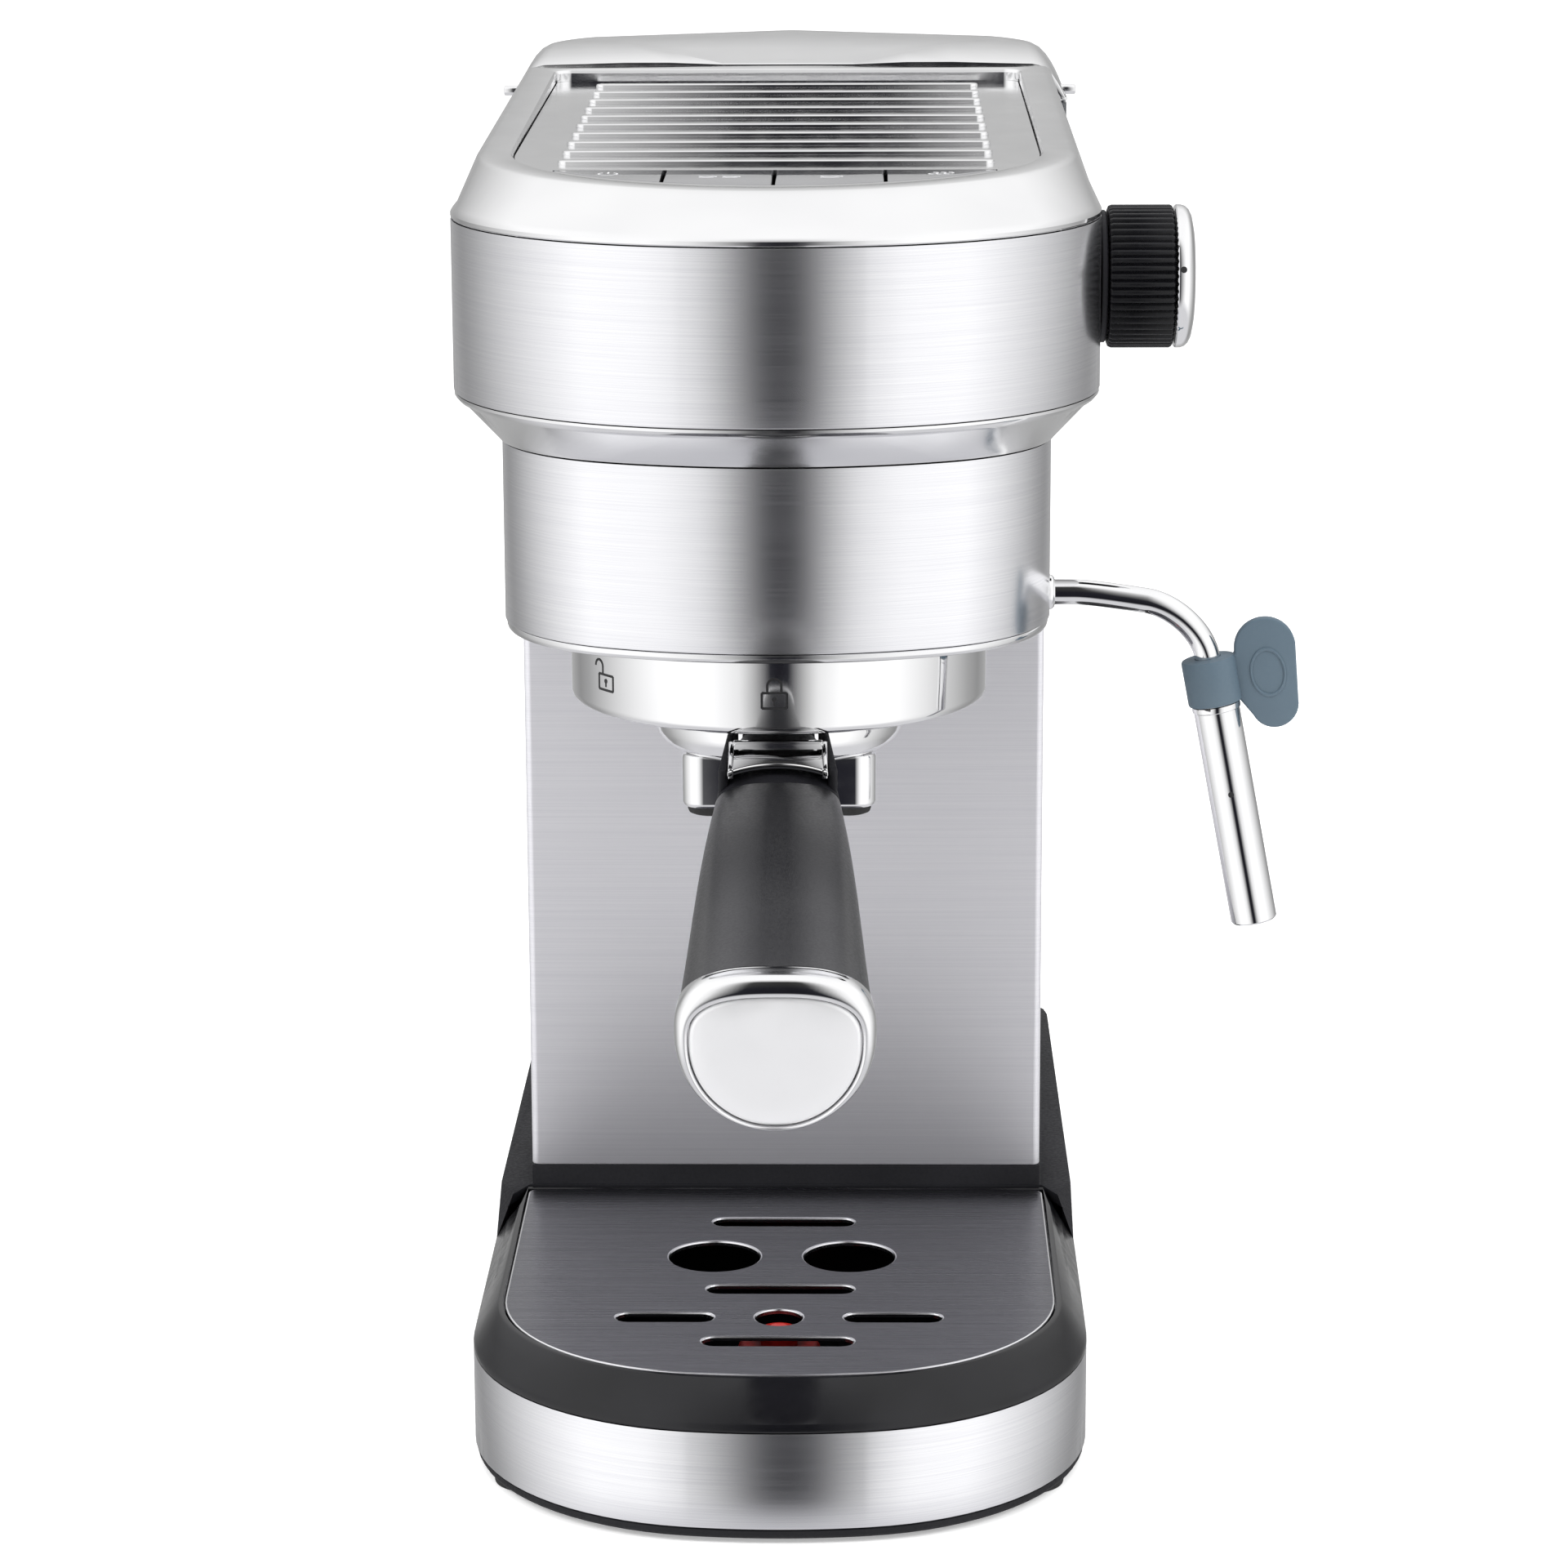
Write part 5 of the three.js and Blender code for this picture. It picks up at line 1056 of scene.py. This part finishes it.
cap = bmesh.new()
turn_profile(cap, [
    (0, 90.2), (15.9, 90.2), (16.2, 90.5), (16.2, 91.6), (15.9, 92.5), (15.2, 93.3), (14, 93.9), (11.5, 94.4),
    (7, 94.65), (0, 94.7),
], 128, closed=False)
make_piece(cap, "knob_chrome_cap", chrome, "knob", ["knob_cap"], knob_place, sharp=40)

dot = bmesh.new()
add_rod(dot, 32, 0.75, 0.5, (
    knob_place @ Matrix.Rotation(math.radians(-102), 4, "Z") @ Matrix.Translation(point(15.98, 0, 91.4))
    @ QUARTER_TURN_Y
))
soften(dot, 0.08, 2, 60)
make_piece(dot, "knob_dot", black_ink_and_painted_shade, "knob")

# ------------------------------------------------------------------ steam wand
# A polished tube that swivels in a socket in the neck, bends down and carries a loose sleeve with an
# air hole, drawn as a thin black disc of painted shade. A soft grey-blue grip with a thumb tab is pushed
# on above the sleeve.
WAND_Y, WAND_Z = 60, 203.7
socket = bmesh.new()
turn_profile(socket, [
    (3.1, 56.4), (4.3, 56.4), (4.3, 60.2), (4, 60.4), (4, 62.2), (3.8, 62.7), (3.3, 63.1), (3.0, 63.2),
], 64)
socket_place = Matrix.Translation(point(0, WAND_Y, WAND_Z)) @ QUARTER_TURN_Y
make_piece(socket, "wand_socket_bush", chrome, "machine", ["wand_socket"], socket_place)

WAND_TILT = math.radians(10.8)
wand_down = Vector((math.sin(WAND_TILT), 0, -math.cos(WAND_TILT)))
wand_top = point(98.3, WAND_Y, 188.4)
bend = point(84, WAND_Y, 201.7)
tube_exit = point(67.5, WAND_Y, WAND_Z)
route = [point(54, WAND_Y, WAND_Z)]
route += interpolate_bezier(tube_exit, tube_exit + point(4, 0, 0), bend + point(-4, 0, 0.6), bend, 12)
above_top = wand_top - wand_down * 6.65 * MM
route += interpolate_bezier(bend, bend + point(6, 0, -0.9), above_top, wand_top, 26)[1:]
route.append(wand_top + wand_down * 50 * MM)
wand = bmesh.new()
loops = []
for i, spot in enumerate(route):
    ahead = (route[min(i + 1, len(route) - 1)] - route[max(i - 1, 0)]).normalized()
    lean = math.atan2(ahead.x, ahead.z)
    circle = bmesh.ops.create_circle(wand, segments=48, radius=2.9 * MM, matrix=(
        Matrix.Translation(spot) @ Matrix.Rotation(lean, 4, "Y")
    ))["verts"]
    loops.append(edges_of(circle))
skin(wand, loops, spread=(0, 0, 0))
make_piece(wand, "wand_steel_tube", chrome, "wand", ["wand_tube"])

wand_place = Matrix.Translation(wand_top) @ Matrix.Rotation(-WAND_TILT, 4, "Y")
silicone_grey = moulded("silicone_grey", (0.075, 0.112, 0.145), (0.09, 0.132, 0.168), 0.5, 0.62, 0.8, 0.012)
grip_band = bmesh.new()
turn_profile(grip_band, [
    (3.0, 0.1), (5.5, 0), (6.0, -0.12), (6.2, -0.5), (6.2, -10.2), (6.1, -10.5), (5.85, -10.6), (5.6, -10.5),
    (5.6, -7.3), (3.0, -7.3),
], 72)
tab = bmesh.new()
outline = draw(tab, [
    (5.2, -0.4), (6.2, 0), (13.2, 0, -180, 24), (18.7, -13.3), (13.2, -13.3, -162, 18), (5.2, -10.2),
    (5.2, -0.4),
], 1.5, mirrored=False)
bmesh.ops.contextual_create(tab, geom=close_line(tab, outline))
thicken(tab, 3)
bmesh.ops.recalc_face_normals(tab, faces=tab.faces)
soften(tab, 0.9, 4, 50)
for z in (-1.45, 1.45):
    oval = set(tab.verts)
    turn_profile(tab, [
        (3.75, z), (3.9, z + 0.32), (4.15, z + 0.42), (4.4, z + 0.32), (4.55, z), (4.15, z - 0.42),
    ], 56)
    made = [v for v in tab.verts if v not in oval]
    bmesh.ops.scale(tab, vec=(0.92, 1.3, 1), verts=made)
    bmesh.ops.translate(tab, vec=point(12.9, -5.6, 0), verts=made)
bmesh.ops.transform(tab, matrix=QUARTER_TURN_X, verts=tab.verts)
make_piece(grip_band, "wand_grip_band", silicone_grey, "wand", ["wand_grip"], wand_place)
make_piece(tab, "wand_thumb_tab", silicone_grey, "wand", place=wand_place)

sleeve = bmesh.new()
rings = []
for radius, z in (
    (3.4, -7.6), (4.9, -7.6), (5.3, -7.9), (5.3, -10.75), (5.55, -10.9), (5.6, -11.5), (5.55, -12.1),
    (5.3, -12.3), (5.3, -29.9), (5.3, -31.5), (5.3, -33.1), (5.3, -62.6), (5.0, -63), (3.8, -63),
    (3.8, -14.6), (3.4, -13.6),
):
    rings.append(edges_of(add_ring(sleeve, 64, radius, z)))
skin(sleeve, rings, "round")
make_piece(sleeve, "wand_steel_sleeve", chrome, "sleeve", ["wand_sleeve"], wand_place, sharp=28)

# The air hole isn't cut: a thin black disc on the sleeve stands in for it as painted shade.
painted_air_hole_shade = bmesh.new()
add_rod(painted_air_hole_shade, 32, 0.68, 0.5, Matrix.Translation(point(-0.4, -5.1, -31.5)) @ QUARTER_TURN_X)
make_piece(painted_air_hole_shade, "sleeve_air_hole_painted_shade", black_ink_and_painted_shade, "sleeve", place=wand_place)

nozzle = bmesh.new()
turn_profile(nozzle, [
    (0, -50.3), (2.9, -50.3), (2.9, -53.6), (2.6, -54.4), (1.7, -55.9), (1.4, -56), (0, -56),
], 48, closed=False)
make_piece(nozzle, "wand_tip", chrome, "wand", ["wand_nozzle"], wand_place)

# ------------------------------------------------------------------ inner pieces
# What is seen only from below, from behind or through the tank: the black core and floor of the
# housing, the cast works, the filter and its screen, the hoses and the board. They keep their shapes.
cast_metal = plated("cast_aluminium", (0.34, 0.34, 0.35), (0.5, 0.5, 0.51), 0.45, 0.62)
brass = plated("turned_brass", (0.5, 0.34, 0.13), (0.62, 0.44, 0.18), 0.22, 0.36)
screen_steel = brushed("screen_steel", (700, 700, 90), (0.5, 0.5, 0.51), (0.62, 0.62, 0.63), 0.24, 0.36, 0.01)
hose_rubber = moulded("hose_silicone", (0.5, 0.5, 0.5), (0.6, 0.6, 0.6), 0.5, 0.65, 1, 0.02)
board_green = moulded("board_green", (0.008, 0.06, 0.025), (0.015, 0.1, 0.04), 0.4, 0.6, 2, 0.03)
for paint, nodes in (
    (matte_black, ("column_core", "head_chassis", "tank_socket")),
    (foot_rubber, ("group_gasket", "tank_valve")), (cast_metal, ("group_head", "boiler", "pump")),
    (screen_steel, ("shower_screen", "shower_screw", "filter_basket")),
    (brass, ("steam_valve", "knob_spindle")),
    (hose_rubber, ("suction_hose", "pressure_hose")), (board_green, ("control_board",)),
):
    for node in nodes:
        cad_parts[node].material_slots[0].material = paint
